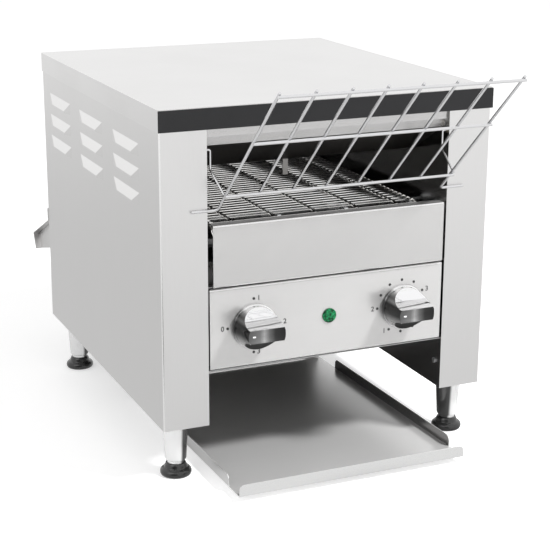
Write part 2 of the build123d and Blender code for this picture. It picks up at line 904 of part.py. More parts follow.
def fan_guard():
    """Pressed finger guard over the fan opening, two rings on a cross."""
    flat = Rectangle(guard_bar, 2 * (fan_bore + guard_reach))
    guard = Rot(0, 0, 45) * flat + Rot(0, 0, -45) * flat
    for radius in (fan_bore / 3, fan_bore * 2 / 3):
        ring = RegularPolygon(radius + guard_bar / 2, 16) - RegularPolygon(radius - guard_bar / 2, 16)
        guard = guard + ring
    return Pos(fan_x, back_inner, fan_z) * extrude(Plane.XZ * guard, amount=-sheet)


def cord_gland():
    """Moulded gland in the back panel, with nothing passing through it."""
    front, back = back_inner - gland_inside, back_inner + gland_outside
    flange = plug_y(gland_radius + gland_flange, gland_x, back_inner, back_inner + gland_flange, gland_z, 6)
    body = plug_y(gland_radius, gland_x, front, back, gland_z, 6)
    return flange + body - rod_y(gland_bore, gland_x, front - 1, back + 1, gland_z)


def rear_air_deflector():
    """Awning under which the cooling air leaves the back."""
    tip = hood_y + hood_reach
    section = folded(
        [
            (hood_y - sheet, hood_top + hood_flange),
            (hood_y - sheet, hood_top),
            (tip, hood_top - hood_drop),
            (tip - hood_lip_back, hood_top - hood_drop - hood_lip_drop),
        ],
        sheet,
    )
    hood = across(section, -cover_x, cover_x)
    hood_low = hood_top - hood_drop - hood_lip_drop
    cheek_low = hood_low + (hood_reach - hood_lip_back) * sin(radians(hood_cheek_rise))
    outline = [
        (hood_y - sheet, hood_top),
        (tip - sheet / 2, hood_top - hood_drop),
        (tip - hood_lip_back - sheet / 2, hood_low),
        (hood_y - sheet, cheek_low),
    ]
    inset = cover_x - hood_cheek_inset
    cheek = across(make_face(Polyline(*outline, close=True)), -inset, -inset + sheet)
    return hood + cheek + mirrored(cheek)


# ---- legs ----
def tapered(low_radius, top_radius, height):
    """Tapered post on Z = 0 whose flats stand for a turned round."""
    ends = [RegularPolygon(low_radius, turned_sides), RegularPolygon(top_radius, turned_sides)]
    return loft([ends[0].face(), (Pos(0, 0, height) * ends[1]).face()], ruled=True)


def leg(x, y):
    """Tapered leg with a neck above its foot and a stud that goes up through the compartment floor."""
    neck = bar_z(leg_neck_radius, 0, 0, foot_height, foot_height + leg_neck_height, turned_sides)
    shank_low = foot_height + leg_neck_height
    shank = Pos(0, 0, shank_low) * tapered(leg_low_radius, leg_top_radius, leg_height - shank_low)
    stud = bar_z(leg_stud_radius, 0, 0, leg_height, leg_height + leg_stud_length, 6)
    return Pos(x, y, 0) * fused(neck, shank, stud)


def rubber_foot(x, y):
    """Rubber foot with a bevelled rim."""
    foot = bar_z(foot_radius, x, y, 0, foot_height, turned_sides)
    return chamfer(foot.faces().sort_by(Axis.Z)[-1].edges(), foot_rim)


# ---- bread rack ----
def rack_side():
    """Left side rod, sloping down and turned outward into the pin in front of the column."""
    y0, z0 = rack_point(rack_high + rack_tip)
    points = [
        (-rack_half, y0, z0),
        (-rack_half, rack_pin_y, rack_pin_z),
        (-rack_pin_x, rack_pin_y, rack_pin_z),
    ]
    return wire(points, rack_wire_radius, rack_bend)


def rack_cross(along):
    """Cross rod welded under the sloping rods."""
    y, z = rack_point(along)
    drop = 2 * rack_wire_radius - rack_weld
    slope = radians(rack_slope)
    half = rack_half + rack_wire_radius
    return bar_x(rack_wire_radius, -half, half, y - drop * sin(slope), z - drop * cos(slope))


def bread_rack():
    """Welded wire rack that holds the bread at the mouth."""
    rack = rack_side() + mirrored(rack_side())
    y0, z0 = rack_point(rack_high + rack_tip)
    y1, z1 = rack_point(rack_low)
    gap = 2 * rack_half / (rack_inner_rods + 1)
    for x in spread(rack_inner_rods, gap):
        rack = rack + wire([(x, y0, z0), (x, y1, z1)], rack_wire_radius)
    for along in (rack_low, rack_middle, rack_high):
        rack = rack + rack_cross(along)
    return rack


def rack_hook():
    """Left hook wire from the rack's bottom corner up to its hinge pin in the wall."""
    y, z = rack_point(rack_low)
    points = [
        (-rack_half - rack_wire_radius - hook_wire_radius, y, z),
        (-hook_x, hinge_y, hinge_z - hook_drop),
        (-hook_x, hinge_y, hinge_z),
        (-hinge_pin_end, hinge_y, hinge_z),
    ]
    return wire(points, hook_wire_radius)


def hinge_bushes():
    """Small bushes in the inner walls for the rack's pins."""
    low, high = -wall_out - hinge_bush_outside, -tunnel_half + hinge_bush_inside
    bush = bar_x(hinge_bush_radius, low, high, hinge_y, hinge_z)
    bush = bush - rod_x(hook_wire_radius + running_fit, low - 1, high + 1, hinge_y, hinge_z)
    return [bush, mirrored(bush)]


# ---- knobs and controls ----
def knob():
    """Turned knob with two scoops that leave a bar to hold, drawn about Y at its back face."""
    profile = [
        (0, 0),
        (knob_radius, 0),
        (knob_radius, -knob_skirt),
        (knob_body_radius, -knob_skirt),
        (knob_top_radius, -knob_length + knob_nose),
        (knob_top_radius - knob_nose, -knob_length),
        (0, -knob_length),
    ]
    turned = revolve(make_face(Polyline(*profile, close=True)), Axis.Y)
    reach = 2 * knob_radius
    scoop_back = -knob_skirt - knob_collar
    scoop_radius = knob_length + scoop_back
    scoop = rod_x(scoop_radius, -reach, reach, -knob_length, knob_grip / 2 + scoop_radius)
    turned = turned - scoop - mirror(scoop, about=Plane.XY)
    hollow = rod_y(knob_hollow_radius, 0, -knob_hollow_depth, 1, 0)
    return turned - hollow - rod_y(switch_shaft_radius, 0, -knob_length + knob_face, 1, 0)


def control_shaft(x):
    """Shaft between a knob and the control behind the panel."""
    front = knob_back_y - knob_length + knob_face
    return rod_y(switch_shaft_radius, x, front, panel_recess + switch_shaft_reach, knob_z)


def control_body(x, depth, size):
    """Control fixed behind the panel by its threaded bush."""
    front = panel_recess + sheet
    body = block(x - size / 2, x + size / 2, front, front + depth, knob_z - size / 2, knob_z + size / 2)
    body = chamfer(body.edges().filter_by(Axis.Y), switch_chamfer)
    bush_front = panel_recess - switch_bush_reach
    bush = rod_y(switch_bush_radius, x, bush_front, front + 1, knob_z)
    bore_end = panel_recess + switch_shaft_reach + slip
    return body + bush - rod_y(switch_shaft_radius + running_fit, x, bush_front - 1, bore_end, knob_z)


def indicator_lens():
    """Domed lamp lens in front of the panel."""
    lens = plug_y(lamp_radius, 0, panel_recess - lamp_proud, panel_recess, knob_z, turned_sides)
    return chamfer(lens.faces().sort_by(Axis.Y)[0].edges(), lamp_chamfer)


def indicator_body():
    """Lamp holder through the panel."""
    return rod_y(lamp_body_radius, 0, panel_recess, panel_recess + lamp_body_length, knob_z)


def speed_board():
    """Control board on posts on the box's floor."""
    floor = panel_bottom
    low, high = floor + board_post, floor + board_post + board_sheet
    x0, x1, y0, y1 = board_low_x, board_low_x + board_size, board_front, board_front + board_size
    board = block(x0, x1, y0, y1, low, high)
    inset = board_post_inset
    places = [(x, y) for x in (x0 + inset, x1 - inset) for y in (y0 + inset, y1 - inset)]
    half = board_post / 2
    posts = [block(x - half, x + half, y - half, y + half, floor, low) for x, y in places]
    middle = (y0 + y1) / 2
    choke_x = x0 + inset
    choke_top = high + board_block_height
    choke = block(choke_x, choke_x + board_block, middle - board_block, middle, high, choke_top)
    can = bar_z(board_can_radius, x1 - 2 * board_block, middle, high, high + board_can_height)
    return fused(board, *posts, choke, can)


# ---- tray and chute ----
def toast_tray():
    """Shallow tray: floor, two side walls and an upright front lip, its back edge on the table."""
    floor = block(-tray_half, tray_half, tray_front, tray_back, 0, sheet)
    side = block(-tray_half, -tray_half + sheet, tray_wall_front, tray_wall_back, 0, tray_wall)
    side = fillet(side.edges().filter_by(Axis.X).sort_by(Axis.Z)[-2:], tray_corner)
    lip = block(-tray_half, tray_half, tray_front, tray_front + sheet, 0, tray_wall)
    lip = fillet(lip.edges().filter_by(Axis.Y).sort_by(Axis.Z)[-2:], tray_corner)
    tray = fused(floor, side, mirrored(side), lip)
    return Pos(0, tray_back, 0) * Rot(-tray_tilt, 0, 0) * Pos(0, -tray_back, 0) * tray


def tray_bumpers():
    """Rubber buttons under the front of the tray, cut to its slope."""
    y = tray_front + bumper_inset
    front, back = y - 2 * bumper_radius, y + 2 * bumper_radius
    above = [(front, tray_under(front)), (back, tray_under(back)), (back, tray_wall), (front, tray_wall)]
    button = bar_z(bumper_radius, bumper_side - tray_half, y, 0, tray_under(front))
    button = button - across(make_face(Polyline(*above, close=True)), -tray_half, 0)
    return [button, mirrored(button)]


def toast_chute():
    """Curved sheet behind the belt that turns the falling toast forward."""
    foot_z = tray_under(chute_foot_y) + 2 * sheet + slip
    section = folded(
        [
            (back_inner - sheet, chute_top_z),
            (chute_y, chute_top_z),
            (chute_y, chute_bend_z),
            (chute_foot_y, foot_z),
        ],
        sheet,
        (bend_radius, chute_bend_radius),
    )
    chute = across(section, -tunnel_half, tunnel_half)
    notch = block(-tunnel_half - 1, -chute_low_half, 0, body_depth, 0, leg_height)
    return chute - notch - mirrored(notch)


# ---- assembly ----
def build_casing():
    left_panel, left_wall, left_base = side_panel(), inner_wall(), base_plate()
    add("left_side_panel", left_panel)
    add("right_side_panel", mirrored(left_panel))
    add("left_inner_wall", left_wall)
    add("right_inner_wall", mirrored(left_wall))
    add("left_base_plate", left_base)
    add("right_base_plate", mirrored(left_base))
    add("top_cover", top_cover())
    add("top_front_trim", top_front_trim())
    add("back_panel", back_panel())
    add("rear_air_deflector", rear_air_deflector())
    add("casing_screws", *casing_screws())
    add("front_apron", front_apron())
    add("control_panel", control_panel())
    add("control_box", control_box())
    add("header", header())
    for side, x in (("left", -leg_x), ("right", leg_x)):
        for end, y in (("front", leg_front_y), ("rear", leg_rear_y)):
            add(f"{end}_{side}_leg", leg(x, y))
            add(f"{end}_{side}_foot", rubber_foot(x, y))


def build_heating():
    add("upper_elements", *elements(upper_places()))
    add("lower_elements", *elements(lower_places()))
    add("element_holders", *element_holders())
    add("upper_reflector", upper_reflector())
    add("lower_reflector", lower_reflector())


def build_belt():
    add("wire_belt", *wire_belt())
    add("front_shaft", hex_shaft(front_shaft_y, wall_out + bush_length))
    add("front_sprockets", *sprockets(front_shaft_y))
    add("drive_shaft", hex_shaft(rear_shaft_y, chain_plane + chain_width))
    add("drive_sprockets", *sprockets(rear_shaft_y))
    add("shaft_bushes", *shaft_bushes())
    add("belt_rest", belt_rest())


def build_drive():
    add("chain_wheel", chain_wheel(driven_teeth, journal_radius, rear_shaft_y, shaft_z))
    add("motor_sprocket", chain_wheel(driver_teeth, motor_shaft_radius, motor_shaft_y, motor_shaft_z))
    add("motor_output_shaft", motor_output())
    add("drive_chain", drive_chain())
    add("gear_motor", gear_motor())
    add("motor_bracket", motor_bracket())
    add("fan_frame", fan_frame())
    add("fan_rotor", fan_rotor())
    add("fan_guard", fan_guard())
    add("cord_gland", cord_gland())
    add("speed_board", speed_board())


def build_controls():
    for name, x in (("mode", -knob_x), ("speed", knob_x)):
        add(f"{name}_knob", Pos(x, knob_back_y, knob_z) * knob())
        add(f"{name}_shaft", control_shaft(x))
    mode_depth, mode_size = switch_depth + mode_switch_extra, switch_size + mode_switch_extra
    add("mode_switch", control_body(-knob_x, mode_depth, mode_size))
    add("speed_control", control_body(knob_x, switch_depth, switch_size))
    add("indicator_lens", indicator_lens())
    add("indicator_body", indicator_body())


def build_rack_and_tray():
    add("bread_rack", bread_rack())
    add("rack_hooks", rack_hook(), mirrored(rack_hook()))
    add("hinge_bushes", *hinge_bushes())
    add("toast_tray", toast_tray())
    add("tray_bumpers", *tray_bumpers())
    add("toast_chute", toast_chute())


def main():
    build_casing()
    build_heating()
    build_belt()
    build_drive()
    build_controls()
    build_rack_and_tray()
    os.makedirs("parts", exist_ok=True)
    for name, shape in nodes.items():
        export_step(Pos(0, -origin_y, 0) * shape, f"parts/{name}.step")
    print(len(nodes), "nodes, origin at Y", round(origin_y, 3))


main()
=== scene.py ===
# %% [markdown]
# # A conveyor toaster, dressed for its picture
# A catering toaster is folded from thin stainless steel. Bread lies on a belt of steel wires, rides
# under glowing tubes and falls down a chute into a tray. The rigid frame comes from the CAD model, so
# every piece made here is placed in the same metres and rides on one of its bodies.

# %% Load the frame
import json
from math import ceil, cos, pi, radians, sin, tan

import bpy
from mathutils import Matrix, Vector

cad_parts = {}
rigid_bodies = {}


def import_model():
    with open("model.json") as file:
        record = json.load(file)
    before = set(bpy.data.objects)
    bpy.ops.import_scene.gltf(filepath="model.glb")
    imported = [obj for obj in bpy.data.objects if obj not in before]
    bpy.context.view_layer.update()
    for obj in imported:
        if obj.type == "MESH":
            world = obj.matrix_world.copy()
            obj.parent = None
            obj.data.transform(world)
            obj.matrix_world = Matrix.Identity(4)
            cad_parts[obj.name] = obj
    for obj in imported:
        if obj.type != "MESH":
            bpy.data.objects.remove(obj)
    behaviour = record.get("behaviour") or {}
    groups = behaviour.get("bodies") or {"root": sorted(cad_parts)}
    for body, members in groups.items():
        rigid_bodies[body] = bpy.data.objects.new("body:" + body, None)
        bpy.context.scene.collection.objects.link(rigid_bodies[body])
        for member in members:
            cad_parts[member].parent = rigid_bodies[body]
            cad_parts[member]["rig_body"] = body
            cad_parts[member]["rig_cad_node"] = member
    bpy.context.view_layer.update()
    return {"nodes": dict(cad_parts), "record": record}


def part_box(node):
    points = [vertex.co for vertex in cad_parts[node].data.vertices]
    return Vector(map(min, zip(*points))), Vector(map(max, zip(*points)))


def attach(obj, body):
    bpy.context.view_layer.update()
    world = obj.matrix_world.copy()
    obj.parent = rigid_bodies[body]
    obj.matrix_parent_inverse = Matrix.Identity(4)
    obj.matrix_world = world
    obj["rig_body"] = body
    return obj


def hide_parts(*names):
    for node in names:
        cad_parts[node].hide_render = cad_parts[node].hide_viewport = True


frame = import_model()
front_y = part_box("left_side_panel")[0].y
scene = bpy.context.scene


def at(x, y, z):
    """A place in metres, from millimetres right of the middle, behind the columns and above table."""
    return Vector((x / 1000, front_y + y / 1000, z / 1000))


# %% [markdown]
# ## The camera first
# Everything is judged through one lens. The camera stands a little to the left, looks down on the
# toaster and is given by its place and the three directions that it looks along.

# %% Camera
yaw, pitch, roll = 0.4149, 0.2903, 0.0048
camera_place = at(-628.53, -1286.28, 631.15)
picture_width, focal_pixels = 550, 1457.28
sensor_width, farthest = 36, 60

forward = Vector((sin(yaw) * cos(pitch), cos(yaw) * cos(pitch), -sin(pitch)))
level = Vector((cos(yaw), -sin(yaw), 0))
upward = level.cross(forward)
right = level * cos(roll) + upward * sin(roll)
up = upward * cos(roll) - level * sin(roll)
lens = bpy.data.cameras.new("camera")
lens.sensor_width = sensor_width
lens.lens = focal_pixels / picture_width * sensor_width
lens.clip_end = farthest
camera = bpy.data.objects.new("camera", lens)
scene.collection.objects.link(camera)
turn = Matrix((right, up, -forward)).transposed().to_4x4()
camera.matrix_world = Matrix.Translation(camera_place) @ turn
scene.camera = camera
scene.view_settings.view_transform = "Standard"
print("focal length", round(lens.lens, 1), "mm")

# %% [markdown]
# ## Short ways to write a finish
# A finish is a tree of nodes. A node could be made, set and linked in five or six lines, but then the
# idea is lost in them. Here one call makes a node: its kind, what goes into its sockets, its settings.


# %% Node helpers
def node_maker(tree):
    """A short way to fill a tree of nodes."""

    def add(kind, sources=None, **settings):
        node = tree.nodes.new(kind)
        for setting, value in settings.items():
            setattr(node, setting, value)
        for socket, source in (sources or {}).items():
            if isinstance(source, bpy.types.NodeSocket):
                tree.links.new(source, node.inputs[socket])
            else:
                node.inputs[socket].default_value = source
        return node

    return add


def maths(add, operation, *terms):
    """The outcome of one step of arithmetic. Each term is a number or the output of a node."""
    return add("ShaderNodeMath", dict(enumerate(terms)), operation=operation).outputs[0]


def remap(add, value, before, after=(0.0, 1.0), interpolation="LINEAR"):
    """A value moved from one range to another, and held at its ends."""
    limits = {"From Min": before[0], "From Max": before[1], "To Min": after[0], "To Max": after[1]}
    node = add("ShaderNodeMapRange", {"Value": value, **limits}, interpolation_type=interpolation)
    return node.outputs["Result"]


materials = {}


def new_material(name):
    """Start an empty material, and give the short way to fill it."""
    material = bpy.data.materials.new(name)
    material.use_nodes = True
    material.node_tree.nodes.clear()
    materials[name] = material
    return node_maker(material.node_tree)


# %% [markdown]
# ## Room and light
# Polished steel shows what stands around it more than its own colour. So the room matters as much
# as the lamps. It is white for the camera, gentler for the light it sheds, which keeps pale surfaces
# from burning out, and in reflections it has a dark screen behind the camera, which gives the steel
# its depth. A small strong lamp at the right gives the shadows their direction. It stays out of
# reflections, where it would be a glaring spot. A wide weak lamp at the left fills the shadows.


# %% The room
def seen_directly(add):
    """1 for rays of the camera, of reflections and through glass, 0 for the light that is shed."""
    path = add("ShaderNodeLightPath").outputs
    camera_or_glossy = maths(add, "MAXIMUM", path["Is Camera Ray"], path["Is Glossy Ray"])
    return maths(add, "MAXIMUM", camera_or_glossy, path["Is Transmission Ray"])


WHITE = (1, 1, 1, 1)
room_light = 0.55
screen_way = Vector((-0.52, -0.85, 0.08)).normalized()
screen_edge, screen_tone = (0.85, 0.96), 0.04

world = bpy.data.worlds.new("studio")
scene.world = world
world.use_nodes = True
world.node_tree.nodes.clear()
add = node_maker(world.node_tree)
looking = add("ShaderNodeTexCoord").outputs["Generated"]
towards = add("ShaderNodeVectorMath", {0: looking, 1: screen_way}, operation="DOT_PRODUCT")
tone = remap(add, towards.outputs["Value"], screen_edge, (1.0, screen_tone), "SMOOTHSTEP")
camera_ray = add("ShaderNodeLightPath").outputs["Is Camera Ray"]
shed = add("ShaderNodeBackground", {"Color": WHITE, "Strength": room_light})
shown = add("ShaderNodeBackground", {"Color": maths(add, "MAXIMUM", camera_ray, tone), "Strength": 1.0})
room = add("ShaderNodeMixShader", {0: seen_directly(add), 1: shed.outputs[0], 2: shown.outputs[0]})
add("ShaderNodeOutputWorld", {"Surface": room.outputs[0]})

# %% The lamps
lamp_aim = Vector((0, 0, 0.2))


def soft_lamp(name, place, width, power):
    """A square lamp that points at the middle of the toaster."""
    light = bpy.data.lights.new(name, "AREA")
    light.shape = "SQUARE"
    light.size = width
    light.energy = power
    lamp = bpy.data.objects.new(name, light)
    scene.collection.objects.link(lamp)
    lamp.location = place
    lamp.rotation_euler = (lamp_aim - place).to_track_quat("-Z", "Y").to_euler()
    return lamp


key_lamp = soft_lamp("key_lamp", Vector((1.1, -1.3, 2.0)), width=0.35, power=75)
key_lamp.visible_glossy = False
fill_lamp = soft_lamp("fill_lamp", Vector((-1.6, -0.9, 1.4)), width=1.4, power=6)
print("lamps", key_lamp.name, fill_lamp.name)

# %% [markdown]
# ## A floor without an edge
# The floor is one wide sheet. Towards the camera it adds a little light of its own, so it meets the
# white room without a line, and still takes the toaster's soft shadow. Steel mirrors the floor too.
# There it is plain white paper with three soft patches of painted shade, because white all round would
# leave the steel without form. One is a painted dark reflection for the flanks of the knobs, one is a
# painted shadow under the machine, and a wide pale one is painted shade for the left side.


# %% Floor
def disc(name, corners, radius, **placing):
    """A flat round sheet. The radius is in metres."""
    bpy.ops.object.select_all(action="DESELECT")
    bpy.ops.mesh.primitive_circle_add(vertices=corners, radius=radius, fill_type="NGON", **placing)
    piece = bpy.context.object
    piece.name = name
    return piece


floor_radius, paper_grey, paper_glow = 14, 0.85, 0.5
floor = disc("floor", 96, floor_radius, location=(0, 0, 0))
add = new_material("white_paper")
glow = maths(add, "MULTIPLY", seen_directly(add), paper_glow)
matt = add("ShaderNodeBsdfDiffuse", {"Color": (paper_grey, paper_grey, paper_grey, 1)})
lift = add("ShaderNodeEmission", {"Color": WHITE, "Strength": glow})
seen = add("ShaderNodeAddShader", {0: matt.outputs[0], 1: lift.outputs[0]})

# %% What the steel mirrors
where = add("ShaderNodeTexCoord").outputs["Object"]


def dark_patch(centre, inner, outer, tone):
    """Round soft patch of painted shade on the floor, seen only by mirrors."""
    apart = add("ShaderNodeVectorMath", {0: where, 1: centre}, operation="DISTANCE")
    return remap(add, apart.outputs["Value"], (inner, outer), (tone, 1.0), "SMOOTHSTEP")


# Painted shade in what mirrors see: a dark reflection for the knobs' flanks, the machine's shadow under
# it, and a wide pale shade for the left side.
knob_reflection_shade = dark_patch((-0.43, -0.61, 0), inner=0.08, outer=0.28, tone=0.05)
under_painted_shadow = dark_patch((0.02, -0.06, 0), inner=0.1, outer=0.22, tone=0.2)
side_painted_shade = dark_patch((-0.32, 0.3, 0), inner=0.5, outer=2.6, tone=0.745)
mirrored_painted_shade = maths(add, "MULTIPLY", maths(add, "MULTIPLY", knob_reflection_shade, under_painted_shadow), side_painted_shade)
mirrored = add("ShaderNodeEmission", {"Color": WHITE, "Strength": mirrored_painted_shade})
glossy_ray = add("ShaderNodeLightPath").outputs["Is Glossy Ray"]
paper = add("ShaderNodeMixShader", {0: glossy_ray, 1: seen.outputs[0], 2: mirrored.outputs[0]})
add("ShaderNodeOutputMaterial", {"Surface": paper.outputs[0]})
floor.data.materials.append(materials["white_paper"])
print("floor", 2 * floor_radius, "m across")

# %% [markdown]
# ## Effects that several finishes share
# Sheet steel is brushed by a belt, which leaves fine scratches one way. Hands and cloths leave broad,
# faint marks. Both are node groups, built once. Each material sets its own values, and a Mapping node
# in front of the group stretches the scratches along the sheet.

# %% Group: brushed grain
FLOAT, VECTOR, COLOUR = "NodeSocketFloat", "NodeSocketVector", "NodeSocketColor"


def new_group(name, inputs, outputs):
    """A shader node group with named sockets: the group, the way to fill it, and what it is given."""
    tree = bpy.data.node_groups.new(name, "ShaderNodeTree")
    for label, kind, value in inputs:
        socket = tree.interface.new_socket(name=label, in_out="INPUT", socket_type=kind)
        if value is not None:
            socket.default_value = value
    for label, kind in outputs:
        tree.interface.new_socket(name=label, in_out="OUTPUT", socket_type=kind)
    add = node_maker(tree)
    return tree, add, add("NodeGroupInput").outputs


grain_group, add, given = new_group(
    "brushed_grain",
    [("Vector", VECTOR, None), ("Colour", COLOUR, (0.8, 0.8, 0.8, 1)), ("Contrast", FLOAT, 0.06),
     ("Roughness", FLOAT, 0.3), ("Spread", FLOAT, 0.08), ("Bump", FLOAT, 0.02)],
    [("Colour", COLOUR), ("Roughness", FLOAT), ("Normal", VECTOR)],
)
fine = add("ShaderNodeTexNoise", {
    "Vector": given["Vector"], "Scale": 1.0, "Detail": 4.0, "Roughness": 0.7}).outputs["Fac"]
centred = maths(add, "SUBTRACT", fine, 0.5)
bright = maths(add, "MULTIPLY_ADD", centred, given["Contrast"], 1.0)
tinted = add("ShaderNodeVectorMath", {0: given["Colour"], "Scale": bright}, operation="SCALE")
rough = maths(add, "MULTIPLY_ADD", centred, given["Spread"], given["Roughness"])
ridge = add("ShaderNodeBump", {"Strength": given["Bump"], "Distance": 0.0002, "Height": fine})
add("NodeGroupOutput", {
    "Colour": tinted.outputs["Vector"], "Roughness": rough, "Normal": ridge.outputs["Normal"]})

# %% Group: handling marks
marks_group, add, given = new_group(
    "handling_marks",
    [("Vector", VECTOR, None), ("Roughness", FLOAT, 0.3), ("Amount", FLOAT, 0.08),
     ("Scale", FLOAT, 9.0)],
    [("Roughness", FLOAT)],
)
cloudy = add("ShaderNodeTexNoise", {
    "Vector": given["Vector"], "Scale": given["Scale"], "Detail": 3.0, "Roughness": 0.55}).outputs["Fac"]
smudged = remap(add, cloudy, (0.42, 0.68))
worn = maths(add, "MULTIPLY_ADD", smudged, given["Amount"], given["Roughness"])
add("NodeGroupOutput", {"Roughness": worn})
print("groups", grain_group.name, marks_group.name)


# %% [markdown]
# ## Steels
# The same two groups give every steel of the toaster: bright brushed panels, a darker and duller
# tunnel, polished chrome with hardly any grain. Only numbers change between them. The wide front
# sheets are taken as partly metal: plain metal would mirror the room's screen as one dark field.


# %% Steel maker
def grained(add, colour, roughness, stretch, contrast=0.06, spread=0.08, bump=0.02):
    """Grain laid over a colour. Stretch is the grain's fineness per metre along X, Y and Z."""
    where = add("ShaderNodeTexCoord").outputs["Object"]
    along = add("ShaderNodeMapping", {"Vector": where, "Scale": stretch})
    sources = {"Vector": along.outputs["Vector"], "Colour": colour, "Roughness": roughness,
               "Contrast": contrast, "Spread": spread, "Bump": bump}
    return add("ShaderNodeGroup", sources, node_tree=grain_group).outputs


def marked(add, roughness, amount, scale):
    """A roughness with handling marks on it."""
    where = add("ShaderNodeTexCoord").outputs["Object"]
    sources = {"Vector": where, "Roughness": roughness, "Amount": amount, "Scale": scale}
    return add("ShaderNodeGroup", sources, node_tree=marks_group).outputs["Roughness"]


def principled(add, grain, roughness, **others):
    """Close a material with a Principled shader. An underscore stands for a space in a socket's name."""
    sources = {"Base Color": grain["Colour"], "Roughness": roughness, "Normal": grain["Normal"]}
    sources.update({socket.replace("_", " "): value for socket, value in others.items()})
    shader = add("ShaderNodeBsdfPrincipled", sources)
    add("ShaderNodeOutputMaterial", {"Surface": shader.outputs[0]})


def steel(name, colour, roughness, stretch, contrast=0.06, bump=0.02, marks=0.06, spread=0.06,
          scale=9.0, metal=1.0):
    """Metal with grain along one direction and faint marks. Scale is the marks' fineness."""
    add = new_material(name)
    grain = grained(add, (*colour, 1), roughness, stretch, contrast, spread, bump)
    principled(add, grain, marked(add, grain["Roughness"], marks, scale), Metallic=metal)


# %% All the steels
ALONG_X, ALONG_Y, ALONG_Z = (40, 1500, 1500), (1500, 40, 1500), (1500, 1500, 40)
LONG_STROKES = (9, 420, 420)
even = {"contrast": 0.03, "bump": 0.004, "marks": 0.02, "spread": 0.02}

steel("panel_steel", (0.69, 0.685, 0.68), 0.32, ALONG_Z, marks=0.025)
# Painted light: the louvres' hoods are made brighter than the panel around them.
steel("louvre_painted_light", (0.84, 0.835, 0.83), 0.3, ALONG_Z, marks=0.02)
# Painted highlight along every rounded edge and on the front of the tray.
steel("edge_painted_highlight", (0.96, 0.96, 0.955), 0.2, ALONG_Z, marks=0.02)
# Painted light: the fronts of the columns and the tray's outer left wall are made brighter than the
# sheet around them.
steel("column_painted_light", (0.81, 0.805, 0.8), 0.32, ALONG_Z, marks=0.025)
steel("front_steel", (0.69, 0.685, 0.68), 0.24, LONG_STROKES, metal=0.62, **even)
steel("apron_steel", (0.63, 0.625, 0.62), 0.24, LONG_STROKES, metal=0.74, **even)
steel("cover_steel", (0.82, 0.815, 0.81), 0.3, ALONG_Y)
# Painted shade: the cover's sides are made darker than its top.
steel("cover_side_painted_shade", (0.71, 0.705, 0.7), 0.3, ALONG_Y)
steel("wall_steel", (0.30, 0.295, 0.29), 0.2, ALONG_Y, contrast=0.1, marks=0.04)
steel("reflector_steel", (0.3, 0.29, 0.28), 0.35, ALONG_X, contrast=0.15, marks=0.1)
steel("inner_steel", (0.5, 0.5, 0.5), 0.35, ALONG_X, contrast=0.08)
steel("chrome", (0.93, 0.93, 0.94), 0.08, (300, 300, 300), contrast=0.03, bump=0.004, marks=0.05)
steel("rack_chrome", (0.78, 0.78, 0.79), 0.13, (400, 400, 400), contrast=0.05, bump=0.006)
steel("belt_steel", (0.95, 0.94, 0.92), 0.16, (60, 700, 700), contrast=0.2, marks=0.1, scale=30)
steel("tray_steel", (0.86, 0.855, 0.85), 0.24, LONG_STROKES, metal=0.56, **even)
# Painted shade: the tray's walls are made darker than its floor.
steel("tray_wall_painted_shade", (0.4, 0.395, 0.39), 0.2, ALONG_Y, contrast=0.04, bump=0.005, marks=0.03)
steel("zinc_steel", (0.66, 0.67, 0.68), 0.25, (300, 300, 300), contrast=0.1)
steel("element_tube", (0.22, 0.2, 0.19), 0.5, (60, 900, 900), contrast=0.35)
steel("bush_bronze", (0.46, 0.41, 0.34), 0.45, (900, 900, 900), contrast=0.2)
print(len(materials), "materials so far")

# %% [markdown]
# ## The milled face of the grips
# The front of each grip is milled slightly hollow, so it mirrors a wide strip of the room, from bright
# to nearly black. Screens could be built for it to mirror, but every other piece would show them too.
# So a colour ramp paints the mirrored strip along the grip as a painted reflection, under the fine
# lines that the cutter has left. Both knobs share the finish, because X is counted across each knob by
# itself.

# %% Finish of the grips
knob_x, knob_z = 84.5, 160.3
knob_spacing, grip_width = 2 * knob_x / 1000, 0.04


def place_shaded(add):
    """X, Y and Z of the place that is being shaded, in metres."""
    return add("ShaderNodeSeparateXYZ", {0: add("ShaderNodeTexCoord").outputs["Object"]}).outputs


def across_knob(add, place):
    """X counted from 0 to the knobs' spacing, with the middle of each knob half way."""
    return maths(add, "WRAP", place["X"], knob_spacing, 0.0)


def grey_ramp(add, value, tones):
    """Greys at places from 0 to 1, blended between them."""
    ramp = add("ShaderNodeValToRGB", {0: value})
    while len(ramp.color_ramp.elements) < len(tones):
        ramp.color_ramp.elements.new(0.5)
    for element, (place, tone) in zip(ramp.color_ramp.elements, tones):
        element.position = place
        element.color = (tone, tone, tone, 1)
    return ramp.outputs["Color"]


add = new_material("brushed_grip_painted_reflection")
grip_ends = (knob_spacing - grip_width) / 2, (knob_spacing + grip_width) / 2
share = remap(add, across_knob(add, place_shaded(add)), grip_ends)
# Painted reflection: greys along the grip stand for the bright and dark room that it mirrors.
grip_painted_reflection = grey_ramp(add, share, (
    (0.0, 0.16), (0.3, 0.26), (0.42, 0.5), (0.56, 0.2), (0.72, 0.06), (1.0, 0.04)))
grain = grained(add, grip_painted_reflection, 0.22, (60, 900, 2600), contrast=0.9)
principled(add, grain, grain["Roughness"], Metallic=1.0)

# %% [markdown]
# ## Chrome of the legs
# A polished leg mirrors the dark underside of the machine on its inner half and the white room on its
# outer half, with a sharp border between them. A smooth step of tone across the leg paints this as a
# painted reflection. It is steadier than a true mirror, whose border would move with every small change
# of the room.

# %% Finish of the legs
dark_half, bright_half = 0.1565, 0.16
add = new_material("leg_chrome_painted_reflection")
either_side = maths(add, "ABSOLUTE", place_shaded(add)["X"])
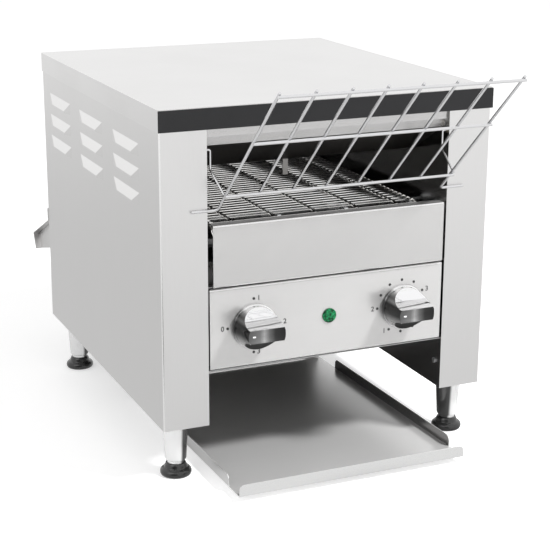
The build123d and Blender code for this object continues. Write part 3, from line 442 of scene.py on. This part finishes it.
# Painted reflection: dark on the inner half of each leg, bright on the outer half.
painted_reflection_tone = remap(add, either_side, (dark_half, bright_half), (0.08, 1.0), "SMOOTHSTEP")
grain = grained(add, painted_reflection_tone, 0.1, (150, 150, 2500), contrast=0.05)
principled(add, grain, grain["Roughness"], Metallic=0.5)

# %% [markdown]
# ## The turned flank of the knobs
# The flank of a knob is turned and polished, and each strip of it mirrors what lies in its own
# direction: a pale wall, a dark hollow, a bright table. A whole kitchen could be built for it to
# mirror, but a colour ramp is shorter. It paints a reflected tone on every angle round the knob's
# axis: a painted reflection.

# %% Finish of the flanks
add = new_material("turned_chrome_painted_reflection")
place = place_shaded(add)
leftwards = maths(add, "SUBTRACT", knob_spacing / 2, across_knob(add, place))
upwards = maths(add, "SUBTRACT", place["Z"], knob_z / 1000)
share = remap(add, maths(add, "ARCTAN2", upwards, leftwards), (-pi, pi))
# Painted reflection: a grey for each angle round the knob's axis.
flank_painted_reflection = grey_ramp(add, share, (
    (0.25, 0.8), (0.36, 0.72), (0.44, 0.34), (0.486, 0.07), (0.556, 0.05), (0.583, 0.3), (0.606, 0.1),
    (0.64, 0.3), (0.67, 0.9), (0.8, 0.93)))
grain = grained(add, flank_painted_reflection, 0.14, (150, 2500, 150), contrast=0.25)
principled(add, grain, grain["Roughness"], Metallic=1.0)

# %% [markdown]
# ## Paint, rubber and plastic
# What isn't bare metal reflects far less. Satin enamel has a slight orange peel, rubber is darker and
# a little cloudy, and moulded plastic has a fine grain from its mould.


# %% Moulded and painted finishes
def moulded(name, colour, roughness, fineness, bump, coat=0.0):
    """Non-metal with a fine even grain and slight mottling."""
    add = new_material(name)
    grain = grained(add, (*colour, 1), roughness, (fineness,) * 3, contrast=0.1, spread=0.1, bump=bump)
    worn = marked(add, grain["Roughness"], amount=0.1, scale=25.0)
    principled(add, grain, worn, Coat_Weight=coat, Coat_Roughness=0.08)


moulded("trim_black", (0.007, 0.007, 0.008), 0.38, 900, 0.03)
moulded("rubber_black", (0.012, 0.012, 0.012), 0.22, 600, 0.02, coat=0.5)
moulded("ceramic_white", (0.78, 0.76, 0.7), 0.6, 500, 0.2)
moulded("motor_paint", (0.12, 0.125, 0.13), 0.4, 700, 0.05)
moulded("black_plastic", (0.02, 0.02, 0.021), 0.4, 1200, 0.1)
# Painted shade: the lower scoop of each knob is made black for the dark that it lies in and mirrors.
moulded("scoop_painted_shade", (0.003, 0.003, 0.003), 0.5, 900, 0.02)
moulded("mark_white", (0.8, 0.8, 0.8), 0.4, 900, 0.02)
moulded("board_green", (0.02, 0.12, 0.05), 0.35, 400, 0.05)
moulded("print_ink", (0.02, 0.02, 0.02), 0.45, 1500, 0.02)

# %% [markdown]
# ## The lamp's lens
# The lens is green plastic with small facets. Each facet is brighter in its middle and dark towards
# its edges. Clear plastic over a lamp could do this by itself, but it is slow and grainy at this size,
# so cells of a Voronoi texture stand for the facets: in bump, and in colour as painted light and shade.

# %% Lens finish
facets_per_metre = 420.0
add = new_material("lens_green")
where = add("ShaderNodeTexCoord").outputs["Object"]
cells = add("ShaderNodeTexVoronoi", {"Vector": where, "Scale": facets_per_metre}).outputs["Distance"]
# Painted light: each facet is coloured brighter in its middle and darker towards its rim.
depth = add("ShaderNodeValToRGB", {0: cells})
middle, rim = depth.color_ramp.elements
middle.color = (0.01, 0.3, 0.1, 1)
rim.color, rim.position = (0.0, 0.03, 0.01, 1), 0.8
facet = add("ShaderNodeBump", {"Strength": 0.5, "Distance": 0.0006, "Height": cells})
look = {"Colour": depth.outputs["Color"], "Normal": facet.outputs["Normal"]}
principled(add, look, 0.08, Specular_IOR_Level=0.2, Coat_Weight=0.3, Coat_Roughness=0.03)
print(len(materials), "materials")

# %% [markdown]
# ## Give every CAD piece its finish
# The record names a material slot for each CAD piece. Most slots are a finish here by the same name.
# The front plates take the steels whose grain runs across.

# %% Finishes for CAD pieces
slot_of = {part["node"]: part["material_slot"] for part in frame["record"]["subparts"]}
finish_of = {
    **slot_of, "control_panel": "front_steel", "front_apron": "apron_steel", "header": "apron_steel"}


def paint(piece, *finishes):
    """Give a piece one material, or a list of them for its faces to choose from."""
    piece.data.materials.clear()
    for finish in finishes:
        piece.data.materials.append(materials[finish])


for name, node in frame["nodes"].items():
    paint(node, finish_of[name])
print(len(frame["nodes"]), "CAD pieces have a finish")


# %% [markdown]
# ## Edges that catch the light
# No folded sheet has a razor edge. A copy of the CAD piece is merged to one skin, flat neighbours are
# joined, and a narrow bevel rounds every edge. The copy then stands for the CAD piece.


# %% Helpers for copies
def body_of(name):
    """The body that carries a CAD piece."""
    return frame["nodes"][name]["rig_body"]


def only(piece):
    """Select one piece and nothing else."""
    bpy.ops.object.select_all(action="DESELECT")
    piece.select_set(True)
    bpy.context.view_layer.objects.active = piece


def apply_modifiers(piece):
    """Apply every modifier of a piece."""
    only(piece)
    for modifier in list(piece.modifiers):
        bpy.ops.object.modifier_apply(modifier=modifier.name)


def merged_copy(name, new_name):
    """A copy of a CAD piece, its loose triangles merged and its flat faces joined."""
    piece = frame["nodes"][name].copy()
    piece.data = piece.data.copy()
    piece.parent = None
    piece.name = new_name
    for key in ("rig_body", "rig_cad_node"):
        if key in piece:
            del piece[key]
    scene.collection.objects.link(piece)
    only(piece)
    bpy.ops.object.mode_set(mode="EDIT")
    bpy.ops.mesh.select_all(action="SELECT")
    bpy.ops.mesh.remove_doubles(threshold=0.00001)
    bpy.ops.mesh.dissolve_limited(angle_limit=radians(1))
    bpy.ops.object.mode_set(mode="OBJECT")
    return piece


# %% Helpers for edges
def round_edges(piece, width, segments, least_turn):
    """Round the edges that turn by more than an angle in degrees. The width is in millimetres."""
    bevel = piece.modifiers.new("edges", "BEVEL")
    bevel.width = width / 1000
    bevel.segments = segments
    bevel.limit_method = "ANGLE"
    bevel.angle_limit = radians(least_turn)
    apply_modifiers(piece)


def keep_creases(piece, low, high):
    """Shallow creases inside a box stay crisp, so the flat sheet beside them isn't shaded round."""
    only(piece)
    bpy.ops.object.mode_set(mode="EDIT")
    bpy.ops.mesh.select_all(action="DESELECT")
    bpy.ops.mesh.edges_select_sharp(sharpness=radians(2))
    bpy.ops.object.mode_set(mode="OBJECT")
    for edge in piece.data.edges:
        ends = [piece.data.vertices[v].co for v in edge.vertices]
        inside = all(low.y < end.y < high.y and low.z < end.z < high.z for end in ends)
        if edge.select and inside:
            edge.use_edge_sharp = True


def flat_faces_first(piece):
    """Large flat faces keep their own shading, and the narrow edges take the turn."""
    weighted = piece.modifiers.new("flat faces first", "WEIGHTED_NORMAL")
    weighted.weight = 100
    weighted.keep_sharp = True
    apply_modifiers(piece)


def steeper_lip(piece):
    """Let the fold below the reflector's front lip hang lower, with the strap on it."""
    front, back, top, drop = 60, 88, 330, 12
    for vertex in piece.data.vertices:
        if at(0, front, 0).y < vertex.co.y < at(0, back, 0).y and vertex.co.z < at(0, 0, top).z:
            vertex.co.z -= drop / 1000


# %% [markdown]
# ## A second, painted tone on one sheet
# One sheet shows several tones, because light falls on each face by the way it looks. Here that light
# is painted: each face takes a lit or shaded copy of one steel. The louvres' hoods, the front of a
# column and the tray's outer left wall are painted brighter, the cover's sides and the tray's walls
# darker, and every rounded edge and the tray's front carry a painted highlight. Each face of the copy
# picks one of four tones by its normal, which is simpler than painting a mask and never goes out of
# step with the shape.

# %% Faces and their finishes
second_tone = {
    "top_cover": "cover_side_painted_shade", "toast_tray": "tray_wall_painted_shade",
    "left_side_panel": "louvre_painted_light", "right_side_panel": "louvre_painted_light",
    "front_apron": "front_steel", "control_panel": "front_steel",
}
OWN, SECOND, EDGE_HIGHLIGHT, PAINTED_LIGHT = range(4)
FLAT, FRONTAL, SIDEWAYS = 0.97, 0.9, 0.7
hood_lean, cover_lean = 0.1, 0.2


def finish_index(name, face):
    """Which of its sheet's tones, its own or a painted one, a face takes."""
    rounded_edge = max(abs(share) for share in face.normal) < FLAT
    sideways = SECOND if abs(face.normal.x) > SIDEWAYS else OWN
    if name == "top_cover":
        return EDGE_HIGHLIGHT if rounded_edge and abs(face.normal.z) > cover_lean else sideways
    if name == "toast_tray":
        if face.normal.y < -FRONTAL:
            return EDGE_HIGHLIGHT
        return PAINTED_LIGHT if face.normal.x < -SIDEWAYS and face.center.x < 0 else sideways
    if rounded_edge:
        return EDGE_HIGHLIGHT
    if abs(face.normal.x) > FLAT and face.normal.z > hood_lean:
        return SECOND
    return PAINTED_LIGHT if name.endswith("side_panel") and face.normal.y < -FLAT else OWN


# %% Bevelled copies
panel_creases = at(0, 50, 200), at(0, 400, 350)


def bevelled(name, width):
    """A copy of a CAD piece with rounded edges, standing for it."""
    piece = merged_copy(name, name + "_sheet")
    if name == "upper_reflector":
        steeper_lip(piece)
    round_edges(piece, width, segments=2, least_turn=28)
    bpy.ops.object.shade_smooth_by_angle(angle=radians(20 if name == "header" else 32))
    if name.endswith("side_panel"):
        keep_creases(piece, *panel_creases)
    flat_faces_first(piece)
    # Faces take lit and shaded copies of the steel: painted light and shade.
    if name in second_tone:
        paint(piece, finish_of[name], second_tone[name], "edge_painted_highlight", "column_painted_light")
        for face in piece.data.polygons:
            face.material_index = finish_index(name, face)
    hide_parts(name)
    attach(piece, body_of(name))
    return piece


edge_widths = {
    "left_side_panel": 0.3, "right_side_panel": 0.3, "top_cover": 0.35, "top_front_trim": 0.4,
    "front_apron": 0.3, "control_panel": 0.3, "control_box": 0.25, "header": 0.25,
    "upper_reflector": 0.25, "toast_tray": 0.3, "toast_chute": 0.25, "rear_air_deflector": 0.3,
    "back_panel": 0.2, "fan_frame": 0.4, "fan_guard": 0.3, "cord_gland": 0.6, "element_holders": 0.6,
    "casing_screws": 0.35,
}
for name, width in edge_widths.items():
    piece = bevelled(name, width)
    print(piece.name, len(piece.data.polygons))

# %% [markdown]
# ## Round wires
# A wire is easiest as a line with a round bevel. The corners of the line are rounded first, with the
# radius of the bending tool, and the curve is then turned into a mesh.


# %% Wire helpers
def rounded(points, bend, steps=5):
    """The same line with each corner replaced by an arc of the given radius, in millimetres."""
    line = [points[0]]
    for before, corner, after in zip(points, points[1:], points[2:]):
        to_before, to_after = (before - corner).normalized(), (after - corner).normalized()
        half = to_before.angle(to_after) / 2
        cut = min(bend / tan(half), 0.49 * (before - corner).length, 0.49 * (after - corner).length)
        radius = cut * tan(half)
        centre = corner + (to_before + to_after).normalized() * (radius / sin(half))
        first = corner + to_before * cut - centre
        last = corner + to_after * cut - centre
        axis = first.cross(last)
        for step in range(steps + 1):
            line.append(centre + Matrix.Rotation((pi - 2 * half) * step / steps, 3, axis) @ first)
    line.append(points[-1])
    return line


def wire_mesh(name, lines, radius, sides):
    """One mesh of round wires along lines given in millimetres."""
    curve = bpy.data.curves.new(name, "CURVE")
    curve.dimensions = "3D"
    curve.bevel_depth = radius / 1000
    curve.bevel_resolution = (sides - 4) // 2
    curve.use_fill_caps = True
    for line in lines:
        spline = curve.splines.new("POLY")
        spline.points.add(len(line) - 1)
        for point, place in zip(spline.points, line):
            point.co = (*at(*place), 1)
    piece = bpy.data.objects.new(name, curve)
    scene.collection.objects.link(piece)
    only(piece)
    bpy.ops.object.convert(target="MESH")
    piece = bpy.context.object
    piece.name = name
    bpy.ops.object.shade_smooth_by_angle(angle=radians(50))
    return piece


# %% [markdown]
# ## The bread rack
# Eight sloping rods lie on three cross rods and are spot welded to them. The two outer rods turn
# outward at the bottom and rest on the columns. Two thinner hooks carry the rack at its hinge, so it
# can be swung up for cleaning.

# %% Rack rods
rod_radius, hook_radius = 1.5, 1.1
rack_half, pin_x, pin_z, slope = 124.0, 151.5, 285.0, radians(43)
rack_low, rack_middle, rack_high, rod_tip = 30.5, 124.0, 199.5, 2.5
pin_gap, weld_depth, pin_bend = 0.3, 0.2, 4
pin_y = -rod_radius - pin_gap


def rack_place(x, along, drop=0.0):
    """A place on the rack's slope, and drop below it."""
    y = pin_y - along * cos(slope) - drop * sin(slope)
    return Vector((x, y, pin_z + along * sin(slope) - drop * cos(slope)))


rods = []
for side in (-1, 1):
    outer_rod = [rack_place(side * rack_half, rack_high + rod_tip),
                 Vector((side * rack_half, pin_y, pin_z)), Vector((side * pin_x, pin_y, pin_z))]
    rods.append(rounded(outer_rod, pin_bend))
inner = 6
for i in range(inner):
    x = (i - (inner - 1) / 2) * 2 * rack_half / (inner + 1)
    rods.append([rack_place(x, rack_high + rod_tip), rack_place(x, rack_low - rod_radius)])
cross_rod_drop = 2 * rod_radius - weld_depth
for along in (rack_low, rack_middle, rack_high):
    rods.append([rack_place(side * (rack_half + rod_radius), along, cross_rod_drop) for side in (-1, 1)])
rack = wire_mesh("rack_rods", rods, rod_radius, sides=12)
paint(rack, "rack_chrome")
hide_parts("bread_rack")
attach(rack, "rack")
print(len(rods), "rods, faces", len(rack.data.polygons))

# %% Rack hooks
hinge_y, hinge_z, hook_x, hinge_end = 5.0, 344.0, 129.0, 141.0
hook_drop, hook_bend = 19.5, 2.2
hooks = []
for side in (-1, 1):
    foot = rack_place(side * (rack_half + rod_radius + hook_radius), rack_low)
    points = [foot, Vector((side * hook_x, hinge_y, hinge_z - hook_drop)),
              Vector((side * hook_x, hinge_y, hinge_z)), Vector((side * hinge_end, hinge_y, hinge_z))]
    hooks.append(rounded(points, hook_bend))
hook_piece = wire_mesh("rack_hook_wires", hooks, hook_radius, sides=10)
paint(hook_piece, "rack_chrome")
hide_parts("rack_hooks")
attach(hook_piece, "rack")
print(len(hooks), "hooks, faces", len(hook_piece.data.polygons))

# %% [markdown]
# ## The wire belt
# The belt is made of single cross wires. Each has small Z shaped steps that reach back and hook round
# the wire behind it, and its two ends are turned back the same way. One wire is drawn once and laid
# at every place round the loop.

# %% One cross wire
belt_half, belt_top, belt_wire, belt_pitch = 120.0, 263.0, 1.8, 9.5
belt_radius, front_shaft, rear_shaft = 24.0, 46.0, 352.0
shaft_z = belt_top - belt_radius
hook_places = (-95.0, -47.5, 0.0, 47.5, 95.0)
step_out, step_in, under, step_bend = 1.4, 0.7, 1.2, 0.6
end_length, end_lean, end_gap = 4.5, 0.8, 0.4


def cross_wire():
    """Corner points of a wire: X along it, Y towards the wire behind, Z outwards from the loop."""
    half = belt_half - belt_wire / 2
    ends = {}
    for side in (-1, 1):
        ends[side] = [(side * (half - end_length), -belt_pitch, -under),
                      (side * (half - end_lean), -belt_pitch + end_gap, -under), (side * half, 0, 0)]
    points = ends[-1]
    for x in hook_places:
        points += [(x - step_out, 0, 0), (x - step_in, -belt_pitch, -under),
                   (x + step_in, -belt_pitch, -under), (x + step_out, 0, 0)]
    return rounded([Vector(p) for p in points + ends[1][::-1]], step_bend, steps=2)


one_wire = cross_wire()
print("points along one wire", len(one_wire))

# %% All the wires of the loop
run, arc = rear_shaft - front_shaft, pi * belt_radius
loop_length = 2 * run + 2 * arc
wires = ceil(loop_length / belt_pitch)


def loop_place(distance):
    """Y, Z and turn at a distance along the loop, from the front of the upper run."""
    if distance < run:
        return front_shaft + distance, belt_top, 0.0
    if distance < run + arc:
        angle = (distance - run) / belt_radius
        return rear_shaft + belt_radius * sin(angle), shaft_z + belt_radius * cos(angle), angle
    if distance < 2 * run + arc:
        return rear_shaft - (distance - run - arc), shaft_z - belt_radius, pi
    angle = pi + (distance - 2 * run - arc) / belt_radius
    return front_shaft + belt_radius * sin(angle), shaft_z + belt_radius * cos(angle), angle


lines = []
for i in range(wires):
    y, z, angle = loop_place(i * loop_length / wires)
    spin = Matrix.Rotation(-angle, 3, "X")
    lines.append([spin @ point + Vector((0, y, z)) for point in one_wire])
belt = wire_mesh("belt_wires", lines, belt_wire / 2, sides=6)
paint(belt, "belt_steel")
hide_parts("wire_belt")
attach(belt, "casing")
print("belt wires", wires, "faces", len(belt.data.polygons))


# %% [markdown]
# ## Turned pieces
# Legs, feet and the lamp's lens are round. A short profile is turned into a solid as on a lathe: a
# disc is drawn out from step to step of the profile, and each new ring is scaled to its radius.


# %% Turning helper
def spun(name, profile, steps, axis, centre, bevel=0.0, segments=3):
    """A closed turned piece. The profile gives (radius, height) in millimetres, from axis to axis."""
    radius, height = profile[1]
    piece = disc(name, steps, radius / 1000)
    bpy.ops.object.mode_set(mode="EDIT")
    bpy.ops.mesh.select_all(action="SELECT")
    bpy.ops.transform.translate(value=(0, 0, height / 1000))
    for next_radius, next_height in profile[2:-1]:
        bpy.ops.mesh.extrude_region_move(
            TRANSFORM_OT_translate={"value": (0, 0, (next_height - height) / 1000)})
        share = next_radius / radius
        bpy.ops.transform.resize(value=(share, share, 1), center_override=(0, 0, next_height / 1000))
        radius, height = next_radius, next_height
    bpy.ops.mesh.select_all(action="SELECT")
    bpy.ops.mesh.normals_make_consistent(inside=False)
    bpy.ops.object.mode_set(mode="OBJECT")
    if axis == "Y":
        piece.data.transform(Matrix.Rotation(radians(90), 4, "X"))
    piece.data.transform(Matrix.Translation(at(*centre)))
    if bevel:
        round_edges(piece, bevel, segments, least_turn=20)
    only(piece)
    bpy.ops.object.shade_smooth_by_angle(angle=radians(35))
    return piece


# %% Legs and feet
leg_x, leg_places, leg_steps = 161, {"front": 28, "rear": 378}, 64
leg_profile = [(0, 14), (9, 14), (9, 17), (10.6, 17.4), (11.2, 19), (13.5, 58.6), (13.5, 60), (0, 60)]
foot_profile = [(0, 0), (13.6, 0), (15.6, 0.8), (16.4, 2.4), (16.5, 4.4), (15.9, 6.3), (14.4, 7.8),
                (12.8, 8.5), (12.1, 8.8), (11.7, 9.6), (11.3, 11.6), (10.2, 13.9), (0, 13.9)]
for end, y in leg_places.items():
    for side, x in (("left", -leg_x), ("right", leg_x)):
        leg = spun(f"{end}_{side}_leg_turned", leg_profile, leg_steps, "Z", (x, y, 0), bevel=0.35)
        paint(leg, "leg_chrome_painted_reflection")
        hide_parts(f"{end}_{side}_leg")
        foot = spun(f"{end}_{side}_foot_rubber", foot_profile, leg_steps, "Z", (x, y, 0), bevel=0.5)
        paint(foot, "rubber_black")
        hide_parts(f"{end}_{side}_foot")
        for piece, slot in ((leg, "chrome"), (foot, "rubber_black")):
            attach(piece, "casing")
        print(leg.name, len(leg.data.polygons), foot.name, len(foot.data.polygons))

# %% Lamp lens
lens_profile = [(0, 0), (7.75, 0), (7.75, 1.3), (6.9, 1.9), (6.2, 1.5), (5.6, 2.3), (2.2, 3.0), (0, 3.0)]
lens_steps, panel_front = 24, 1.5
lens_place = (0, panel_front, knob_z)
lamp_lens = spun("lamp_lens", lens_profile, lens_steps, "Y", lens_place, bevel=0.15, segments=2)
paint(lamp_lens, "lens_green")
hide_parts("indicator_lens")
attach(lamp_lens, "casing")
print(lamp_lens.name, len(lamp_lens.data.polygons))

# %% [markdown]
# ## Knobs
# Each knob is turned from bar, then milled: two round-bottomed scoops leave a grip to hold. It is made
# here in the same order. The turning helper makes the body, Boolean modifiers cut the scoops and a
# shallow hollow along the grip, and a bevel breaks the sharp edges.

# %% Knob sizes and scoops
knob_back, knob_length, grip, scoop_floor = 0.9, 35.0, 14.0, 6.5
knob_profile = [(0, 0), (22.8, 0), (23.7, 0.5), (24, 1.2), (24, 3.6), (23.6, 4.2), (22.8, 4.5),
                (20.0, 34.5), (19.6, 35), (0, 35)]
knob_front = knob_back - knob_length
scoop_radius = knob_length - scoop_floor
hollow_radius, hollow_depth, hollow_half = 26.0, 0.8, 14
reach, hollow_reach = 60, 20


def scoop_outline(side):
    """Round scoop beside the grip, with its middle in front of the knob's outer edge."""
    middle_z, steps = grip / 2 + scoop_radius, 32
    places = []
    for step in range(steps + 1):
        angle = pi / 2 * step / steps
        places.append((knob_front + scoop_radius * sin(angle), middle_z - scoop_radius * cos(angle)))
    places += [(knob_back - scoop_floor, reach), (-reach, reach), (-reach, grip / 2)]
    return [(y, knob_z + side * z) for y, z in places]


def hollow_outline():
    """Shallow hollow along the front of the grip."""
    middle, steps = knob_front - hollow_radius + hollow_depth, 16
    places = []
    for step in range(steps + 1):
        angle = radians(-hollow_half + 2 * hollow_half * step / steps)
        places.append((middle + hollow_radius * cos(angle), knob_z + hollow_radius * sin(angle)))
    ahead = knob_front - hollow_reach
    return places + [(ahead, places[-1][1]), (ahead, places[0][1])]


# %% Milling cutters
cutter_half = 40


def drawn_out(piece, shift):
    """Push a flat piece out into a solid, and let its skin face outwards."""
    bpy.ops.object.mode_set(mode="EDIT")
    bpy.ops.mesh.select_all(action="SELECT")
    bpy.ops.mesh.extrude_region_move(TRANSFORM_OT_translate={"value": shift})
    bpy.ops.mesh.select_all(action="SELECT")
    bpy.ops.mesh.normals_make_consistent(inside=False)
    bpy.ops.object.mode_set(mode="OBJECT")
    return piece


def cutter_along_x(outline, x):
    """A milling cutter: an outline of (Y, Z) places in millimetres, drawn out along X."""
    cutter = disc("cutter", len(outline), 0.01)
    for vertex, (y, z) in zip(cutter.data.vertices, outline):
        vertex.co = at(x - cutter_half, y, z)
    return drawn_out(cutter, (2 * cutter_half / 1000, 0, 0))


# %% [markdown]
# ## Four finishes on a knob
# The turned rest is chrome, the front of the grip is milled and carries a painted reflection, the lower
# scoop is made black as painted shade, and the flank has its own painted reflection. The cuts left
# faces without names, so each face is known by its place: how far it lies from a scoop's axis, and how
# far from the knob's axis.

# %% Which face takes which
CHROME, GRIP, SCOOP_SHADE, FLANK = range(4)
on_scoop, margin, hollow_margin = 0.3, 0.4, 0.2
flank_radius, facing_out = 19.4, -0.2


def knob_finish(face, x):
    """Which finish a face of the knob at x takes."""
    scoop_axis = at(0, knob_front, knob_z - grip / 2 - scoop_radius)
    from_axis = Vector((0, face.center.y - scoop_axis.y, face.center.z - scoop_axis.z)).length * 1000
    in_front = face.center.y < at(0, knob_front + hollow_depth + hollow_margin, 0).y
    if in_front and face.normal.y < -FRONTAL:
        return GRIP
    below_grip = face.center.z < at(0, 0, knob_z - grip / 2 - margin).z
    # Faces of the lower scoop take the painted shade.
    if abs(from_axis - scoop_radius) < on_scoop and below_grip:
        return SCOOP_SHADE
    outward = Vector((face.center.x - x / 1000, 0, face.center.z - at(0, 0, knob_z).z))
    on_flank = outward.length > flank_radius / 1000 and abs(from_axis - scoop_radius) > margin
    return FLANK if on_flank and face.normal.dot(outward.normalized()) > facing_out else CHROME


# %% Knobs and pointers
knob_steps, knob_edge = 128, 0.35
pointer_radius, pointer_half, pointer_height = 0.8, 0.9, 0.6
pointer_inset, pointer_depth = 14, 0.3


def knob_piece(name, x):
    """A milled knob at its place on the panel."""
    body = spun(name, knob_profile, knob_steps, "Y", (x, knob_back, knob_z))
    for outline in (scoop_outline(1), scoop_outline(-1), hollow_outline()):
        cutter = cutter_along_x(outline, x)
        cut = body.modifiers.new("milled", "BOOLEAN")
        cut.operation = "DIFFERENCE"
        cut.object = cutter
        apply_modifiers(body)
        bpy.data.objects.remove(cutter)
    round_edges(body, knob_edge, segments=3, least_turn=24)
    bpy.ops.object.shade_smooth_by_angle(angle=radians(30))
    paint(body, "chrome", "brushed_grip_painted_reflection", "scoop_painted_shade", "turned_chrome_painted_reflection")
    for face in body.data.polygons:
        face.material_index = knob_finish(face, x)
    return body


def front_disc(name, corners, radius):
    """A disc that looks to the front. The radius is in millimetres."""
    piece = disc(name, corners, radius / 1000, rotation=(radians(90), 0, 0))
    bpy.ops.object.transform_apply(location=False, rotation=True, scale=False)
    return piece


def pointer_mark(name, x):
    """Short white bar let into the left end of the grip."""
    mark = front_disc(name, 24, pointer_radius)
    for vertex in mark.data.vertices:
        vertex.co.x += (pointer_half if vertex.co.x > 0 else -pointer_half) / 1000
    drawn_out(mark, (0, -pointer_height / 1000, 0))
    place = at(x - pointer_inset, knob_front + hollow_depth + pointer_depth, knob_z)
    mark.data.transform(Matrix.Translation(place))
    paint(mark, "mark_white")
    return mark


knobs = ("mode_knob", "mode_control", -knob_x), ("speed_knob", "speed_setting", knob_x)
for name, body_name, x in knobs:
    knob = knob_piece(name + "_turned", x)
    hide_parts(name)
    mark = pointer_mark(name + "_pointer", x)
    for piece in (knob, mark):
        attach(piece, body_name)
    print(knob.name, len(knob.data.polygons))

# %% [markdown]
# ## Scale round the knobs
# Dots are printed round each knob, and plain numbers stand beside them. A dot is a flat disc that is
# pushed out by a hair, and a number is a text object made a mesh.

# %% Dots and numbers
print_depth, dot_radius, dot_ring = 0.06, 1.5, 28.5
number_height, number_weight = 7.5, 0.12


def printed(piece):
    """Settle a printed mark on the panel."""
    paint(piece, "print_ink")
    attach(piece, "casing")


def dot(name, x, z):
    """A printed dot on the panel."""
    mark = drawn_out(front_disc(name, 20, dot_radius), (0, -print_depth / 1000, 0))
    mark.data.transform(Matrix.Translation(at(x, panel_front, z)))
    printed(mark)


def number(name, text, x, z):
    """A printed number, centred on its place."""
    bpy.ops.object.select_all(action="DESELECT")
    bpy.ops.object.text_add(rotation=(radians(90), 0, 0))
    mark = bpy.context.object
    mark.name = name
    mark.data.body = text
    mark.data.size = number_height / 1000
    mark.data.align_x = "CENTER"
    mark.data.align_y = "CENTER"
    mark.data.extrude = print_depth / 2000
    mark.data.offset = number_weight / 1000
    bpy.ops.object.convert(target="MESH")
    mark = bpy.context.object
    mark.name = name
    bpy.ops.object.transform_apply(location=False, rotation=True, scale=False)
    mark.data.transform(Matrix.Translation(at(x, panel_front - print_depth / 2, z)))
    printed(mark)


# %% Print both scales
def on_ring(middle, degrees):
    """X and Z on the ring of dots round a knob, at an angle from the right."""
    return middle + dot_ring * cos(radians(degrees)), knob_z + dot_ring * sin(radians(degrees))


mode_marks = ((180, -5.5, 0), (90, 5.5, 0), (0, 6, 0), (270, 5.5, 0))
for index, (angle, beside, above) in enumerate(mode_marks):
    x, z = on_ring(-knob_x, angle)
    dot(f"mode_dot_{index}", x, z)
    number(f"mode_number_{index}", str(index), x + beside, z + above)
speed_angles = (240, *range(180, -91, -30))
speed_marks = {240: ("1", -5.5, -1), 180: ("2", -5.5, 0), 30: ("3", 5.5, 1)}
for index, angle in enumerate(speed_angles):
    x, z = on_ring(knob_x, angle)
    dot(f"speed_dot_{index}", x, z)
    if angle in speed_marks:
        text, beside, above = speed_marks[angle]
        number(f"speed_number_{text}", text, x + beside, z + above)
print("dots", len(mode_marks) + len(speed_angles), "numbers", len(mode_marks) + len(speed_marks))
